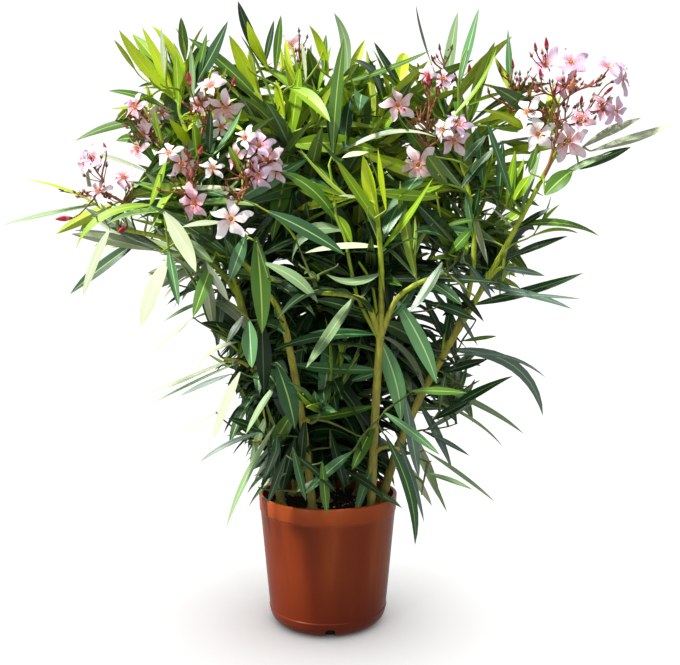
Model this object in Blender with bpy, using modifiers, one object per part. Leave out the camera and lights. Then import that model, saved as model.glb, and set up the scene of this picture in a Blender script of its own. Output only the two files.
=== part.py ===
"""A flowering oleander in a round nursery pot, as separate solids.

Units are metres and +Z is up. The origin is the middle of the pot's flat underside.
Stems stand in the soil and fork into boughs. Each bough ends inside its mass of foliage,
and a limb that runs on through a mass has a passage cut round it.
"""

import math
import random

import bmesh
import bpy
from mathutils import Euler, Vector, noise

# Gap between pieces that touch.
GAP = 0.0003
# Blender's merge distances are set to this.
MERGE = 0.00005

# Pot: a tapered wall with a band under its rim, a rounded foot and drain slots.
POT_HEIGHT = 0.223
RIM_RADIUS = 0.120
RIM_WIDTH = 0.0065
RIM_ROUND = 0.0012
BAND_HEIGHT = 0.027
BAND_TAPER = 0.0012
LIP_HEIGHT = 0.011  # the rim is RIM_WIDTH wide down to here, and thins to the wall under it
WALL_TOP_RADIUS = 0.1172
WALL_FOOT_RADIUS = 0.0990
WALL = 0.003
FOOT_ROUND = 0.018
FOOT_ROUND_POINTS = 4
FOOT_STEP_HEIGHT = 0.0265
FOOT_STEP = 0.0010
POT_SIDES = 40
SLOT_COUNT = 4
SLOT_WIDTH = 0.016
SLOT_HEIGHT = 0.018
SLOT_LENGTH = 0.060
SLOT_TURN = 3.0  # degrees from -Y of the first slot

# Soil.
SOIL_TOP = 0.203

# Limbs.
STEM_SIDES_RESOLUTION = 2
BOUGH_SIDES_RESOLUTION = 1
STEM_POINTS = 7
BOUGH_POINTS = 5
STEM_RISE = 0.30  # how far towards its fork a stem has leaned by half its height
FLARE = 1.75  # root flare: how much thicker a stem is at the soil
FLARE_HEIGHT = 0.014
FORK_LAP = 1.4  # a stem runs this many of its radii past its fork
BOUGH_SWEEP = 0.45  # how long a bough keeps its parent's direction
BOUGH_SEAT = 0.35  # a bough stops this share of the mass's half size short of its middle

# Masses of foliage.
MASS_SEGMENTS = 11
MASS_RINGS = 7
LUMPS = 1.7
UNEVENNESS = 0.34
TIP_SPREAD = 38.0  # degrees round a tip that rise towards it
PARTING = 0.005  # gap between neighbouring masses
POT_CLEARANCE = 0.004

# Stems: foot on the soil as (angle in degrees, distance from the middle), the fork, and the
# radius above the root flare and at the fork.
STEMS = {
    "stem_front": ((-38, 0.093), (0.085, -0.095, 0.490), 0.0078, 0.0062),
    "stem_right": ((-4, 0.096), (0.200, 0.000, 0.462), 0.0080, 0.0064),
    "stem_left": ((196, 0.085), (-0.138, -0.040, 0.530), 0.0076, 0.0060),
    "stem_front_left": ((247, 0.066), (-0.062, -0.120, 0.500), 0.0070, 0.0056),
    "stem_middle": ((120, 0.012), (-0.015, 0.015, 0.560), 0.0082, 0.0064),
    "stem_back_left": ((137, 0.080), (-0.125, 0.150, 0.500), 0.0076, 0.0060),
    "stem_back_right": ((46, 0.082), (0.125, 0.150, 0.490), 0.0076, 0.0060),
    "stem_back": ((92, 0.088), (0.005, 0.190, 0.520), 0.0070, 0.0056),
}

# Masses: middle, half sizes, and the furthest tips that the mass reaches.
MASSES = {
    "mass_top_left": (
        (-0.262, 0.000, 0.905), (0.105, 0.100, 0.125),
        ((-0.366, 0.050, 1.028), (-0.312, 0.000, 1.022), (-0.253, 0.030, 1.044),
         (-0.170, -0.020, 1.019), (-0.429, 0.000, 0.829)),
    ),
    "mass_far_left": (
        (-0.370, -0.060, 0.695), (0.115, 0.105, 0.085),
        ((-0.532, -0.070, 0.677), (-0.510, -0.010, 0.757), (-0.397, -0.110, 0.574),
         (-0.400, -0.030, 0.806)),
    ),
    "mass_left": (
        (-0.205, -0.120, 0.680), (0.095, 0.105, 0.110),
        ((-0.165, -0.260, 0.690), (-0.270, -0.110, 0.540)),
    ),
    "mass_left_low": (
        (-0.200, -0.040, 0.480), (0.100, 0.095, 0.090),
        ((-0.308, -0.050, 0.513), (-0.320, 0.010, 0.392), (-0.277, -0.110, 0.394)),
    ),
    "mass_left_skirt": (
        (-0.145, -0.060, 0.335), (0.075, 0.085, 0.070),
        ((-0.250, -0.060, 0.328), (-0.172, -0.090, 0.176), (-0.240, 0.050, 0.267)),
    ),
    "mass_top_middle": (
        (-0.080, -0.005, 0.880), (0.095, 0.105, 0.140),
        ((-0.156, 0.030, 1.069), (-0.160, -0.050, 0.989), (0.020, -0.010, 1.045)),
    ),
    "mass_top_right_middle": (
        (0.080, 0.045, 0.870), (0.070, 0.090, 0.110),
        ((0.088, 0.050, 1.002), (0.160, 0.120, 0.990)),
    ),
    "mass_top_right": (
        (0.225, 0.010, 0.855), (0.095, 0.100, 0.130),
        ((0.215, 0.000, 1.041), (0.259, 0.030, 1.060), (0.305, 0.000, 1.012)),
    ),
    "mass_right_flowers": (
        (0.405, -0.035, 0.850), (0.110, 0.095, 0.090),
        ((0.585, -0.040, 0.849), (0.494, -0.110, 0.842), (0.477, -0.020, 0.957),
         (0.371, 0.000, 0.996), (0.330, -0.060, 0.750)),
    ),
    "mass_right": (
        (0.320, -0.020, 0.635), (0.100, 0.100, 0.095),
        ((0.460, -0.030, 0.663), (0.415, -0.100, 0.598), (0.430, 0.010, 0.545),
         (0.292, -0.030, 0.765)),
    ),
    "mass_right_low": (
        (0.240, -0.015, 0.415), (0.095, 0.095, 0.080),
        ((0.388, 0.020, 0.442), (0.362, -0.060, 0.362), (0.271, -0.090, 0.229)),
    ),
    "mass_right_skirt": (
        (0.140, -0.120, 0.325), (0.060, 0.060, 0.070),
        ((0.142, -0.170, 0.170), (0.190, -0.100, 0.236)),
    ),
    "mass_front_top": (
        (0.075, -0.150, 0.730), (0.065, 0.080, 0.080),
        ((0.078, -0.150, 0.830), (0.090, -0.300, 0.700)),
    ),
    "mass_front_right": (
        (0.185, -0.165, 0.620), (0.085, 0.095, 0.100),
        ((0.240, -0.310, 0.640), (0.140, -0.280, 0.480)),
    ),
    "mass_front_middle": (
        (-0.030, -0.200, 0.590), (0.105, 0.105, 0.100),
        ((-0.070, -0.370, 0.610), (0.010, -0.320, 0.480)),
    ),
    "mass_front_low": (
        (-0.015, -0.140, 0.380), (0.115, 0.085, 0.100),
        ((-0.010, -0.225, 0.235), (-0.110, -0.260, 0.400)),
    ),
    "mass_middle": (
        (0.060, 0.020, 0.620), (0.085, 0.085, 0.100),
        ((0.060, 0.020, 0.500),),
    ),
    "mass_back_left": (
        (-0.250, 0.215, 0.720), (0.110, 0.110, 0.115),
        ((-0.410, 0.300, 0.780), (-0.290, 0.350, 0.880), (-0.370, 0.250, 0.570)),
    ),
    "mass_back_right": (
        (0.255, 0.215, 0.720), (0.110, 0.110, 0.115),
        ((0.430, 0.300, 0.760), (0.280, 0.360, 0.880), (0.380, 0.260, 0.570)),
    ),
    "mass_back": (
        (0.005, 0.300, 0.720), (0.110, 0.100, 0.120),
        ((-0.040, 0.450, 0.760), (0.060, 0.420, 0.890), (0.010, 0.410, 0.570)),
    ),
    "mass_back_top": (
        (-0.010, 0.175, 0.925), (0.110, 0.080, 0.095),
        ((-0.060, 0.200, 1.055), (0.070, 0.210, 1.060)),
    ),
    "mass_back_low_left": (
        (-0.160, 0.165, 0.440), (0.095, 0.085, 0.080),
        ((-0.290, 0.240, 0.400), (-0.180, 0.280, 0.320)),
    ),
    "mass_back_low_right": (
        (0.160, 0.165, 0.435), (0.095, 0.085, 0.080),
        ((0.290, 0.230, 0.400), (0.170, 0.285, 0.310)),
    ),
}

# Boughs: parent, the share of the parent's length where it leaves, the mass that it feeds,
# and its radius at the start and at the end.
BOUGHS = {
    "bough_front_top": ("stem_front", 1.0, "mass_front_top", 0.0054, 0.0036),
    "bough_front_middle": ("stem_front", 1.0, "mass_front_middle", 0.0050, 0.0034),
    "bough_front_right": ("stem_front", 1.0, "mass_front_right", 0.0048, 0.0034),
    "bough_right_flowers": ("stem_right", 1.0, "mass_right_flowers", 0.0056, 0.0034),
    "bough_top_right": ("stem_right", 1.0, "mass_top_right", 0.0054, 0.0034),
    "bough_right_low": ("stem_right", 0.66, "mass_right_low", 0.0040, 0.0030),
    "bough_right": ("bough_right_flowers", 0.34, "mass_right", 0.0040, 0.0030),
    "bough_far_left": ("stem_left", 1.0, "mass_far_left", 0.0052, 0.0034),
    "bough_top_left": ("stem_left", 1.0, "mass_top_left", 0.0050, 0.0034),
    "bough_left_low": ("stem_left", 0.60, "mass_left_low", 0.0040, 0.0030),
    "bough_left": ("stem_front_left", 1.0, "mass_left", 0.0048, 0.0034),
    "bough_front_low": ("stem_front_left", 0.45, "mass_front_low", 0.0040, 0.0030),
    "bough_top_middle": ("stem_middle", 1.0, "mass_top_middle", 0.0052, 0.0034),
    "bough_top_right_middle": ("stem_middle", 1.0, "mass_top_right_middle", 0.0050, 0.0034),
    "bough_middle": ("stem_middle", 0.82, "mass_middle", 0.0042, 0.0030),
    "bough_back_left": ("stem_back_left", 1.0, "mass_back_left", 0.0052, 0.0036),
    "bough_back_low_left": ("stem_back_left", 0.60, "mass_back_low_left", 0.0040, 0.0030),
    "bough_back_right": ("stem_back_right", 1.0, "mass_back_right", 0.0052, 0.0036),
    "bough_back_low_right": ("stem_back_right", 0.60, "mass_back_low_right", 0.0040, 0.0030),
    "bough_back": ("stem_back", 1.0, "mass_back", 0.0050, 0.0034),
    "bough_back_top": ("stem_back", 1.0, "mass_back_top", 0.0048, 0.0034),
    "bough_left_skirt": ("stem_left", 0.22, "mass_left_skirt", 0.0036, 0.0028),
    "bough_right_skirt": ("stem_front", 0.25, "mass_right_skirt", 0.0036, 0.0028),
}

COLOURS = {
    "pot": ((0.42, 0.095, 0.030, 1.0), 0.28),
    "soil": ((0.022, 0.014, 0.010, 1.0), 0.95),
    "stem": ((0.17, 0.19, 0.055, 1.0), 0.60),
    "foliage": ((0.050, 0.130, 0.035, 1.0), 0.50),
}


def clear_scene():
    for thing in list(bpy.data.objects):
        bpy.data.objects.remove(thing, do_unlink=True)


def new_collection(name):
    collection = bpy.data.collections.new(name)
    bpy.context.scene.collection.children.link(collection)
    return collection


def new_material(name):
    colour, roughness = COLOURS[name]
    material = bpy.data.materials.new(name)
    material.use_nodes = True
    shader = material.node_tree.nodes["Principled BSDF"]
    shader.inputs["Base Color"].default_value = colour
    shader.inputs["Roughness"].default_value = roughness
    shader.inputs["Metallic"].default_value = 0.0
    material.diffuse_color = colour
    return material


def new_object(name, mesh, collection, material=None):
    thing = bpy.data.objects.new(name, mesh)
    collection.objects.link(thing)
    if material:
        mesh.materials.append(material)
    return thing


def as_cutter(thing):
    thing.hide_render = True
    thing.display_type = "WIRE"
    return thing


def cut(thing, cutter):
    """Takes the cutter's shape out of the object."""
    modifier = thing.modifiers.new("cut_" + cutter.name, "BOOLEAN")
    modifier.operation = "DIFFERENCE"
    modifier.solver = "EXACT"
    modifier.object = cutter


# Turned pieces


def turned(name, profile, collection, material):
    """Turns a profile of (radius, height) round Z. It runs down its outer side."""
    mesh = bpy.data.meshes.new(name)
    points = [(radius, 0.0, height) for radius, height in profile]
    edges = [(i, i + 1) for i in range(len(points) - 1)]
    mesh.from_pydata(points, edges, [])
    thing = new_object(name, mesh, collection, material)
    screw = thing.modifiers.new("turn", "SCREW")
    screw.axis = "Z"
    screw.angle = math.tau
    screw.steps = POT_SIDES
    screw.render_steps = POT_SIDES
    screw.use_merge_vertices = True
    screw.merge_threshold = MERGE
    screw.use_smooth_shade = True
    return thing


def wall_radius(height):
    """The outer radius of the pot's wall, under its band."""
    share = height / (POT_HEIGHT - BAND_HEIGHT)
    return WALL_FOOT_RADIUS + (WALL_TOP_RADIUS - WALL_FOOT_RADIUS) * share


def foot_profile(inset, floor):
    """The rounded corner between wall and underside, moved in by inset, from the wall down."""
    corner = FOOT_ROUND - inset
    middle = Vector((wall_radius(FOOT_ROUND) - FOOT_ROUND, floor + corner))
    points = []
    for i in range(FOOT_ROUND_POINTS + 1):
        angle = -0.5 * math.pi * i / FOOT_ROUND_POINTS
        points.append((middle.x + corner * math.cos(angle), middle.y + corner * math.sin(angle)))
    return points


def pot_profile():
    """The pot's section, from the middle of its floor up the inside and down the outside."""
    inside_foot = foot_profile(WALL, WALL)
    band_foot = POT_HEIGHT - BAND_HEIGHT
    rim_inside = RIM_RADIUS - RIM_WIDTH
    outside = [
        (rim_inside, POT_HEIGHT - LIP_HEIGHT),
        (rim_inside, POT_HEIGHT - RIM_ROUND),
        (rim_inside + RIM_ROUND, POT_HEIGHT),
        (RIM_RADIUS - RIM_ROUND, POT_HEIGHT),
        (RIM_RADIUS, POT_HEIGHT - RIM_ROUND),
        (RIM_RADIUS - BAND_TAPER, band_foot + RIM_ROUND),
        (RIM_RADIUS - BAND_TAPER - RIM_ROUND, band_foot),
        (wall_radius(band_foot), band_foot - RIM_ROUND),
        (wall_radius(FOOT_STEP_HEIGHT) + FOOT_STEP, FOOT_STEP_HEIGHT + FOOT_STEP),
    ]
    return [(0.0, WALL)] + inside_foot[::-1] + outside + foot_profile(0.0, 0.0) + [(0.0, 0.0)]


def inner_wall_slope():
    """How much the pot's inner wall widens with height, from its foot to under the lip."""
    foot_radius, foot_height = foot_profile(WALL, WALL)[0]
    rise = POT_HEIGHT - LIP_HEIGHT - foot_height
    return (RIM_RADIUS - RIM_WIDTH - foot_radius) / rise


def soil_profile():
    """The soil fills the pot inside its wall, GAP clear of it."""
    foot = foot_profile(WALL + GAP, WALL + GAP)
    radius, height = foot[0]
    top = radius + (SOIL_TOP - height) * inner_wall_slope()
    return [(0.0, SOIL_TOP), (top, SOIL_TOP)] + foot + [(0.0, foot[-1][1])]


def make_pot(collection, cutters, material):
    pot = turned("pot", pot_profile(), collection, material)
    mesh = bpy.data.meshes.new("drain_slots")
    slots = bmesh.new()
    for i in range(SLOT_COUNT):
        angle = math.radians(SLOT_TURN - 90.0 + 360.0 * i / SLOT_COUNT)
        turn = Euler((0.0, 0.0, angle)).to_matrix().to_4x4()
        made = bmesh.ops.create_cube(slots, size=1.0)["verts"]
        bmesh.ops.scale(slots, verts=made, vec=(SLOT_LENGTH, SLOT_WIDTH, 2.0 * SLOT_HEIGHT))
        bmesh.ops.translate(slots, verts=made, vec=(WALL_FOOT_RADIUS, 0.0, 0.0))
        bmesh.ops.transform(slots, verts=made, matrix=turn)
    slots.to_mesh(mesh)
    slots.free()
    cut(pot, as_cutter(new_object("drain_slots", mesh, cutters)))
    return pot


# Limbs


def curve_point(start, bend, end, share):
    """A point on the curve that leaves start towards bend and comes to end from it."""
    return start.lerp(bend, share).lerp(bend.lerp(end, share), share)


def limb_path(start, bend, end, count, past=0.0):
    """Points along a limb, the last of them a length past its end."""
    path = [curve_point(start, bend, end, i / (count - 1)) for i in range(count)]
    path[-1] = path[-1] + (end - bend).normalized() * past
    return path


def tapered(base, top, count):
    return [base + (top - base) * i / (count - 1) for i in range(count)]


def tube(name, path, radii, resolution, collection, material=None):
    """A closed tube along a path, with its own radius at each point."""
    data = bpy.data.curves.new(name + "_line", "CURVE")
    data.dimensions = "3D"
    data.bevel_depth = 1.0
    data.bevel_resolution = resolution
    data.use_fill_caps = True
    line = data.splines.new("POLY")
    line.points.add(len(path) - 1)
    for point, place, radius in zip(line.points, path, radii):
        point.co = (*place, 1.0)
        point.radius = radius
    curve = bpy.data.objects.new(name + "_line", data)
    bpy.context.scene.collection.objects.link(curve)
    graph = bpy.context.evaluated_depsgraph_get()
    mesh = bpy.data.meshes.new_from_object(curve.evaluated_get(graph))
    mesh.name = name
    shape = bmesh.new()
    shape.from_mesh(mesh)
    bmesh.ops.remove_doubles(shape, verts=shape.verts, dist=MERGE)
    bmesh.ops.recalc_face_normals(shape, faces=shape.faces)
    shape.to_mesh(mesh)
    shape.free()
    thing = new_object(name, mesh, collection, material)
    thing.matrix_world = curve.matrix_world
    bpy.data.objects.remove(curve, do_unlink=True)
    mesh.shade_smooth()
    return thing


class Limb:
    """A stem or bough: its path, its radii, its solid and the cutter that clears it."""

    def __init__(self, name, foot, curve, radii, resolution, past, collections, material):
        self.start, self.bend, self.end = curve
        count = len(radii) - len(foot)
        path = foot + limb_path(*curve, count, past)
        longer = foot + limb_path(*curve, count, past + GAP)
        wider = [radius + GAP for radius in radii]
        self.path = path
        self.solid = tube(name, path, radii, resolution, collections[0], material)
        clearance = tube(name + "_clearance", longer, wider, resolution, collections[1])
        self.clearance = as_cutter(clearance)

    def at(self, share):
        return curve_point(self.start, self.bend, self.end, share)

    def heading(self, share):
        tangent = (self.bend - self.start).lerp(self.end - self.bend, share)
        return tangent.normalized()


def make_stem(name, collections, material):
    (angle, distance), fork, base, top = STEMS[name]
    turn = math.radians(angle)
    foot = Vector((distance * math.cos(turn), distance * math.sin(turn), SOIL_TOP + GAP))
    start = foot + Vector((0.0, 0.0, FLARE_HEIGHT))
    end = Vector(fork)
    bend = start.lerp(end, STEM_RISE)
    bend.z = 0.5 * (start.z + end.z)
    curve = (start, bend, end)
    radii = [base * FLARE] + tapered(base, top, STEM_POINTS)
    past = FORK_LAP * top
    resolution = STEM_SIDES_RESOLUTION
    return Limb(name, [foot], curve, radii, resolution, past, collections, material)


def make_bough(name, limbs, collections, material):
    parent_name, share, mass_name, base, top = BOUGHS[name]
    parent = limbs[parent_name]
    middle, half_sizes, _ = MASSES[mass_name]
    start = parent.at(share)
    reach = Vector(middle) - start
    short = BOUGH_SEAT * sum(half_sizes) / len(half_sizes)
    end = Vector(middle) - reach.normalized() * short
    bend = start + parent.heading(share) * reach.length * BOUGH_SWEEP
    curve = (start, bend, end)
    radii = tapered(base, top, BOUGH_POINTS)
    resolution = BOUGH_SIDES_RESOLUTION
    return Limb(name, [], curve, radii, resolution, 0.0, collections, material)


def cut_round_parents(limbs):
    """A bough is cut clear of its parent and of the boughs that left the parent before it."""
    for name, (parent_name, *_) in BOUGHS.items():
        cut(limbs[name].solid, limbs[parent_name].clearance)
        for other, (other_parent, *_) in BOUGHS.items():
            if other == name:
                break
            if other_parent == parent_name:
                cut(limbs[name].solid, limbs[other].clearance)


# Masses of foliage


def plain_reach(half_sizes, direction):
    """How far an ellipsoid of these half sizes reaches in a direction."""
    return 1.0 / math.sqrt(sum((d / h) ** 2 for d, h in zip(direction, half_sizes)))


def parting_limit(name, direction):
    """How far a mass may reach in a direction before the plane that parts it from another."""
    middle, half_sizes, _ = MASSES[name]
    limit = math.inf
    for other, (other_middle, other_sizes, _) in MASSES.items():
        if other == name:
            continue
        towards = Vector(other_middle) - Vector(middle)
        facing = towards.normalized()
        turn = direction.dot(facing)
        if turn <= 0.0:
            continue
        own = plain_reach(half_sizes, facing)
        share = own / (own + plain_reach(other_sizes, facing))
        limit = min(limit, (towards.length * share - 0.5 * PARTING) / turn)
    return limit


def pulled_to_tip(direction, reach, tip):
    """A point's reach, raised where it lies near the direction of a tip."""
    angle = math.degrees(direction.angle(tip))
    pull = max(0.0, 1.0 - angle / TIP_SPREAD) ** 2
    return reach + (max(tip.length, reach) - reach) * pull


def make_mass(name, limbs, pot_cutter, collection, material):
    middle, half_sizes, tips = MASSES[name]
    middle = Vector(middle)
    tips = [Vector(tip) - middle for tip in tips]
    draw = random.Random(name)
    offset = Vector([draw.uniform(0.0, 50.0) for _ in range(3)])
    turn = Euler([draw.uniform(0.0, math.tau) for _ in range(3)])
    shape = bmesh.new()
    sizes = {"u_segments": MASS_SEGMENTS, "v_segments": MASS_RINGS}
    bmesh.ops.create_uvsphere(shape, radius=1.0, **sizes)
    directions = {}
    for corner in shape.verts:
        directions[corner] = (turn.to_matrix() @ corner.co).normalized()
    reaches = {}
    for corner, direction in directions.items():
        lump = 1.0 + UNEVENNESS * noise.noise(direction * LUMPS + offset)
        reach = plain_reach(half_sizes, direction) * lump
        for tip in tips:
            reach = pulled_to_tip(direction, reach, tip)
        reaches[corner] = reach
    free = set(shape.verts)
    for tip in tips:
        nearest = max(free, key=lambda corner: directions[corner].dot(tip.normalized()))
        free.discard(nearest)
        directions[nearest] = tip.normalized()
        reaches[nearest] = tip.length
    for corner, direction in directions.items():
        limit = parting_limit(name, direction)
        corner.co = middle + direction * min(reaches[corner], limit)
    bmesh.ops.triangulate(shape, faces=shape.faces)
    mesh = bpy.data.meshes.new(name)
    shape.to_mesh(mesh)
    shape.free()
    mesh.shade_smooth()
    mass = new_object(name, mesh, collection, material)
    low, high = box_of([corner.co for corner in mesh.vertices])
    for limb in limbs.values():
        limb_low, limb_high = box_of(limb.path)
        if all(limb_low[i] < high[i] and low[i] < limb_high[i] for i in range(3)):
            cut(mass, limb.clearance)
    if low.z < POT_HEIGHT + POT_CLEARANCE:
        cut(mass, pot_cutter)
    return mass


def box_of(points):
    low = Vector([min(point[i] for point in points) for i in range(3)])
    high = Vector([max(point[i] for point in points) for i in range(3)])
    return low, high


def make_pot_cutter(cutters):
    """A cylinder that keeps the lowest foliage clear of the pot."""
    mesh = bpy.data.meshes.new("pot_clearance")
    shape = bmesh.new()
    height = POT_HEIGHT + 2.0 * POT_CLEARANCE
    radius = RIM_RADIUS + POT_CLEARANCE
    sides = {"cap_ends": True, "segments": POT_SIDES}
    bmesh.ops.create_cone(shape, radius1=radius, radius2=radius, depth=height, **sides)
    bmesh.ops.translate(shape, verts=shape.verts, vec=(0.0, 0.0, 0.5 * POT_HEIGHT))
    shape.to_mesh(mesh)
    shape.free()
    return as_cutter(new_object("pot_clearance", mesh, cutters))


def main():
    clear_scene()
    plant = new_collection("potted_oleander")
    cutters = new_collection("cutters")
    collections = (plant, cutters)
    materials = {name: new_material(name) for name in COLOURS}
    make_pot(plant, cutters, materials["pot"])
    turned("soil", soil_profile(), plant, materials["soil"])
    limbs = {name: make_stem(name, collections, materials["stem"]) for name in STEMS}
    for name in BOUGHS:
        limbs[name] = make_bough(name, limbs, collections, materials["stem"])
    cut_round_parents(limbs)
    pot_cutter = make_pot_cutter(cutters)
    for name in MASSES:
        make_mass(name, limbs, pot_cutter, plant, materials["foliage"])


main()
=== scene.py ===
"""Looks of the potted oleander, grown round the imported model.

Units are metres and +Z is up. The stems and boughs get bark. Each mass of foliage is replaced
by a seeded growth: twigs fork from the bough's end towards places inside the mass, each twig
ends in a leafy shoot, and some shoots carry a head of flowers and buds. The leaves, side limbs
and flower heads that stand out in the photo are in tables, by the pixels that they lie at.
"""

import math
import random

import bmesh
import bpy
import numpy as np
from mathutils import Matrix, Quaternion, Vector, noise
from mathutils.bvhtree import BVHTree


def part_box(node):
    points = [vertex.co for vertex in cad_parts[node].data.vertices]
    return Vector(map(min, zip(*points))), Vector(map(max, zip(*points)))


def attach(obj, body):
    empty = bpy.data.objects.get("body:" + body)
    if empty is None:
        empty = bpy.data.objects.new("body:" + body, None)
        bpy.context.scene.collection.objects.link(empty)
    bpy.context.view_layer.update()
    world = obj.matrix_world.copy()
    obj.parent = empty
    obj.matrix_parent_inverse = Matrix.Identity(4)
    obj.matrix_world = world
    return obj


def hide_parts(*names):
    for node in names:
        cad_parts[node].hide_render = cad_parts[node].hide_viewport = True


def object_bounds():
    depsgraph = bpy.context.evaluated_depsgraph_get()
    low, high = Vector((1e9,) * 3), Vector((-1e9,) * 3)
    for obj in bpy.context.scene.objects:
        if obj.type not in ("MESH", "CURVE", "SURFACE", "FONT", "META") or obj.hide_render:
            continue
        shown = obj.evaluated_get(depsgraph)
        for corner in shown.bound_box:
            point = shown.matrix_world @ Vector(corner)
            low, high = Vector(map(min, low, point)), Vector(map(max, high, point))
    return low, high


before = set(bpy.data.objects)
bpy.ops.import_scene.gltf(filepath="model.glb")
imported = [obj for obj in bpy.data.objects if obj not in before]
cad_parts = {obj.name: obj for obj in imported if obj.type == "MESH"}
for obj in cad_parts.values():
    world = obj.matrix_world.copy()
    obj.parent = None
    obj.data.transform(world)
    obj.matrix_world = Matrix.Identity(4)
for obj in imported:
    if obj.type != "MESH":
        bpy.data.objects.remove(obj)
cad_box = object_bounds()

SEED = 11
UP = Vector((0.0, 0.0, 1.0))

# Camera, as the photo was taken. Pixels are of the photo's 680 by 665 frame.
PHOTO_WIDTH = 680
PHOTO_HEIGHT = 665
FOCAL_PIXELS = 800.0
CAMERA_PLACE = Vector((0.021, -1.379, 0.580))
CAMERA_TILT = math.radians(3.3)
TILT_SINE, TILT_COSINE = math.sin(CAMERA_TILT), math.cos(CAMERA_TILT)
SENSOR_WIDTH = 36.0

# Pot.
POT_HEIGHT = 0.223
RIM_RADIUS = 0.120
RIM_WIDTH = 0.0065
RIM_ROUND = 0.0016
BAND_HEIGHT = 0.027
BAND_TAPER = 0.0012
LIP_HEIGHT = 0.011
WALL_TOP_RADIUS = 0.1172
WALL_FOOT_RADIUS = 0.0990
WALL = 0.003
FOOT_ROUND = 0.025
FOOT_STEP_HEIGHT = 0.0265
FOOT_STEP = 0.0010
POT_STEPS = 144
SLOT_COUNT = 4
SLOT_WIDTH = 0.016
SLOT_HEIGHT = 0.018
SLOT_LENGTH = 0.060
SLOT_ROUND = 0.0022
SLOT_TURN = 3.0
POT_MIDDLE = Vector((0.0, 0.0, 0.2))
POT_CLEAR_RADIUS = 0.127
POT_CLEAR_HEIGHT = 0.230
WALL_CLEAR_RADIUS = 0.106
SOIL_CLEAR_HEIGHT = 0.209

# Soil.
SOIL_RINGS = 46
SOIL_SIDES = 120
SOIL_LUMP = 0.0024
SOIL_CLOD = 0.0028
SOIL_SINK = 0.002
SOIL_EDGE = 0.012  # how far from the wall the top turns down
# Loose bits on it: how many, their colour and their radii.
SOIL_BITS = (
    ("perlite", 60, (0.55, 0.52, 0.46), (0.0010, 0.0026)),
    ("bark_chips", 170, (0.055, 0.030, 0.016), (0.0018, 0.0050)),
)

# Limbs of the frame: how many sides each has.
STEM_SIDES = 8
BOUGH_SIDES = 6
STEM_BARK_SIDES = 18
BOUGH_BARK_SIDES = 14
BARK_STEP = 0.0035
FOOT_WIDER = 1.35  # how much wider a bough may be where it leaves a stem
SCAR_SPACING = 0.027
# Shares of a limb's radius by which its bark rises: grain, swellings at the whorls, leaf scars.
GRAIN_RISE = 0.045
WHORL_RISE = 0.05
SCAR_RISE = 0.14
WHORL_SPREAD = 0.0045
SCAR_TURN = 0.42  # half a scar's width, in radians
SCAR_LENGTH = 0.0024
SCAR_BELOW = 0.0012

# Growth.
PEAK_REACH = 1.22  # how far out a mass's tips are, for the usual distance of its corners
SHOOT_VOLUME = 0.00026  # cubic metres of foliage for each shoot
SHOOT_TRIES = 900
SHOOT_DEPTH = 0.012  # how far inside its mass a shoot ends, at least
FEWEST_SHOOTS = 7
MOST_SHOOTS = 26
LEAF_STEPS = 11
OUTSIDE_ALLOWED = 0.022  # how far a leaf's tip may stand out of the masses
# That is between these heights and further back than this y. Elsewhere it is a share of that.
LOOSE_LOW, LOOSE_HIGH = 0.5, 0.84
LOOSE_BACK = -0.1
TIGHT_SHARE = 0.4
BOX_ALLOWED = 0.022  # how far it may stand out of the whole plant's box
# A leaf that doesn't fit gets shorter and narrower, and one that hides another turns, so many times.
LEAF_TRIES = 5
SHORTER, NARROWER = 0.91, 0.95
# Whorls from a shoot's tip down: distance from the tip, leaf length, angle to the shoot, droop.
WHORLS = (
    (0.004, 0.075, 6, 0.00),
    (0.015, 0.115, 11, 0.02),
    (0.032, 0.145, 18, 0.07),
    (0.054, 0.168, 27, 0.16),
    (0.080, 0.184, 38, 0.32),
    (0.109, 0.190, 50, 0.55),
    (0.140, 0.190, 62, 0.85),
    (0.172, 0.184, 74, 1.15),
    (0.206, 0.175, 86, 1.45),
)
LEAF_ASPECT = 0.165
# How much single leaves differ: shares of their length, width and droop, and their folds in degrees.
LENGTH_SPREAD = (0.86, 1.12)
WIDTH_SPREAD = (0.85, 1.18)
DROOP_SPREAD = (0.5, 1.5)
YOUNG_FOLD = (22, 48)
GROWN_FOLD = (6, 30)
# The leaf that reaches its mass's tip.
END_LEAF = (0.115, 0.15)
END_LEAF_WIDTH = 0.024
LEAFY_LENGTH = (0.15, 0.22)  # how much of a shoot has leaves
LEAVES_IN_PIECE = 950
YOUNG_WHORLS = 3  # whorls from the tip down whose leaves are young
GROWN = 6  # the age of a whorl of grown leaves
BARE_WHORLS = 2  # whorls that are missing under a head of flowers

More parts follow.
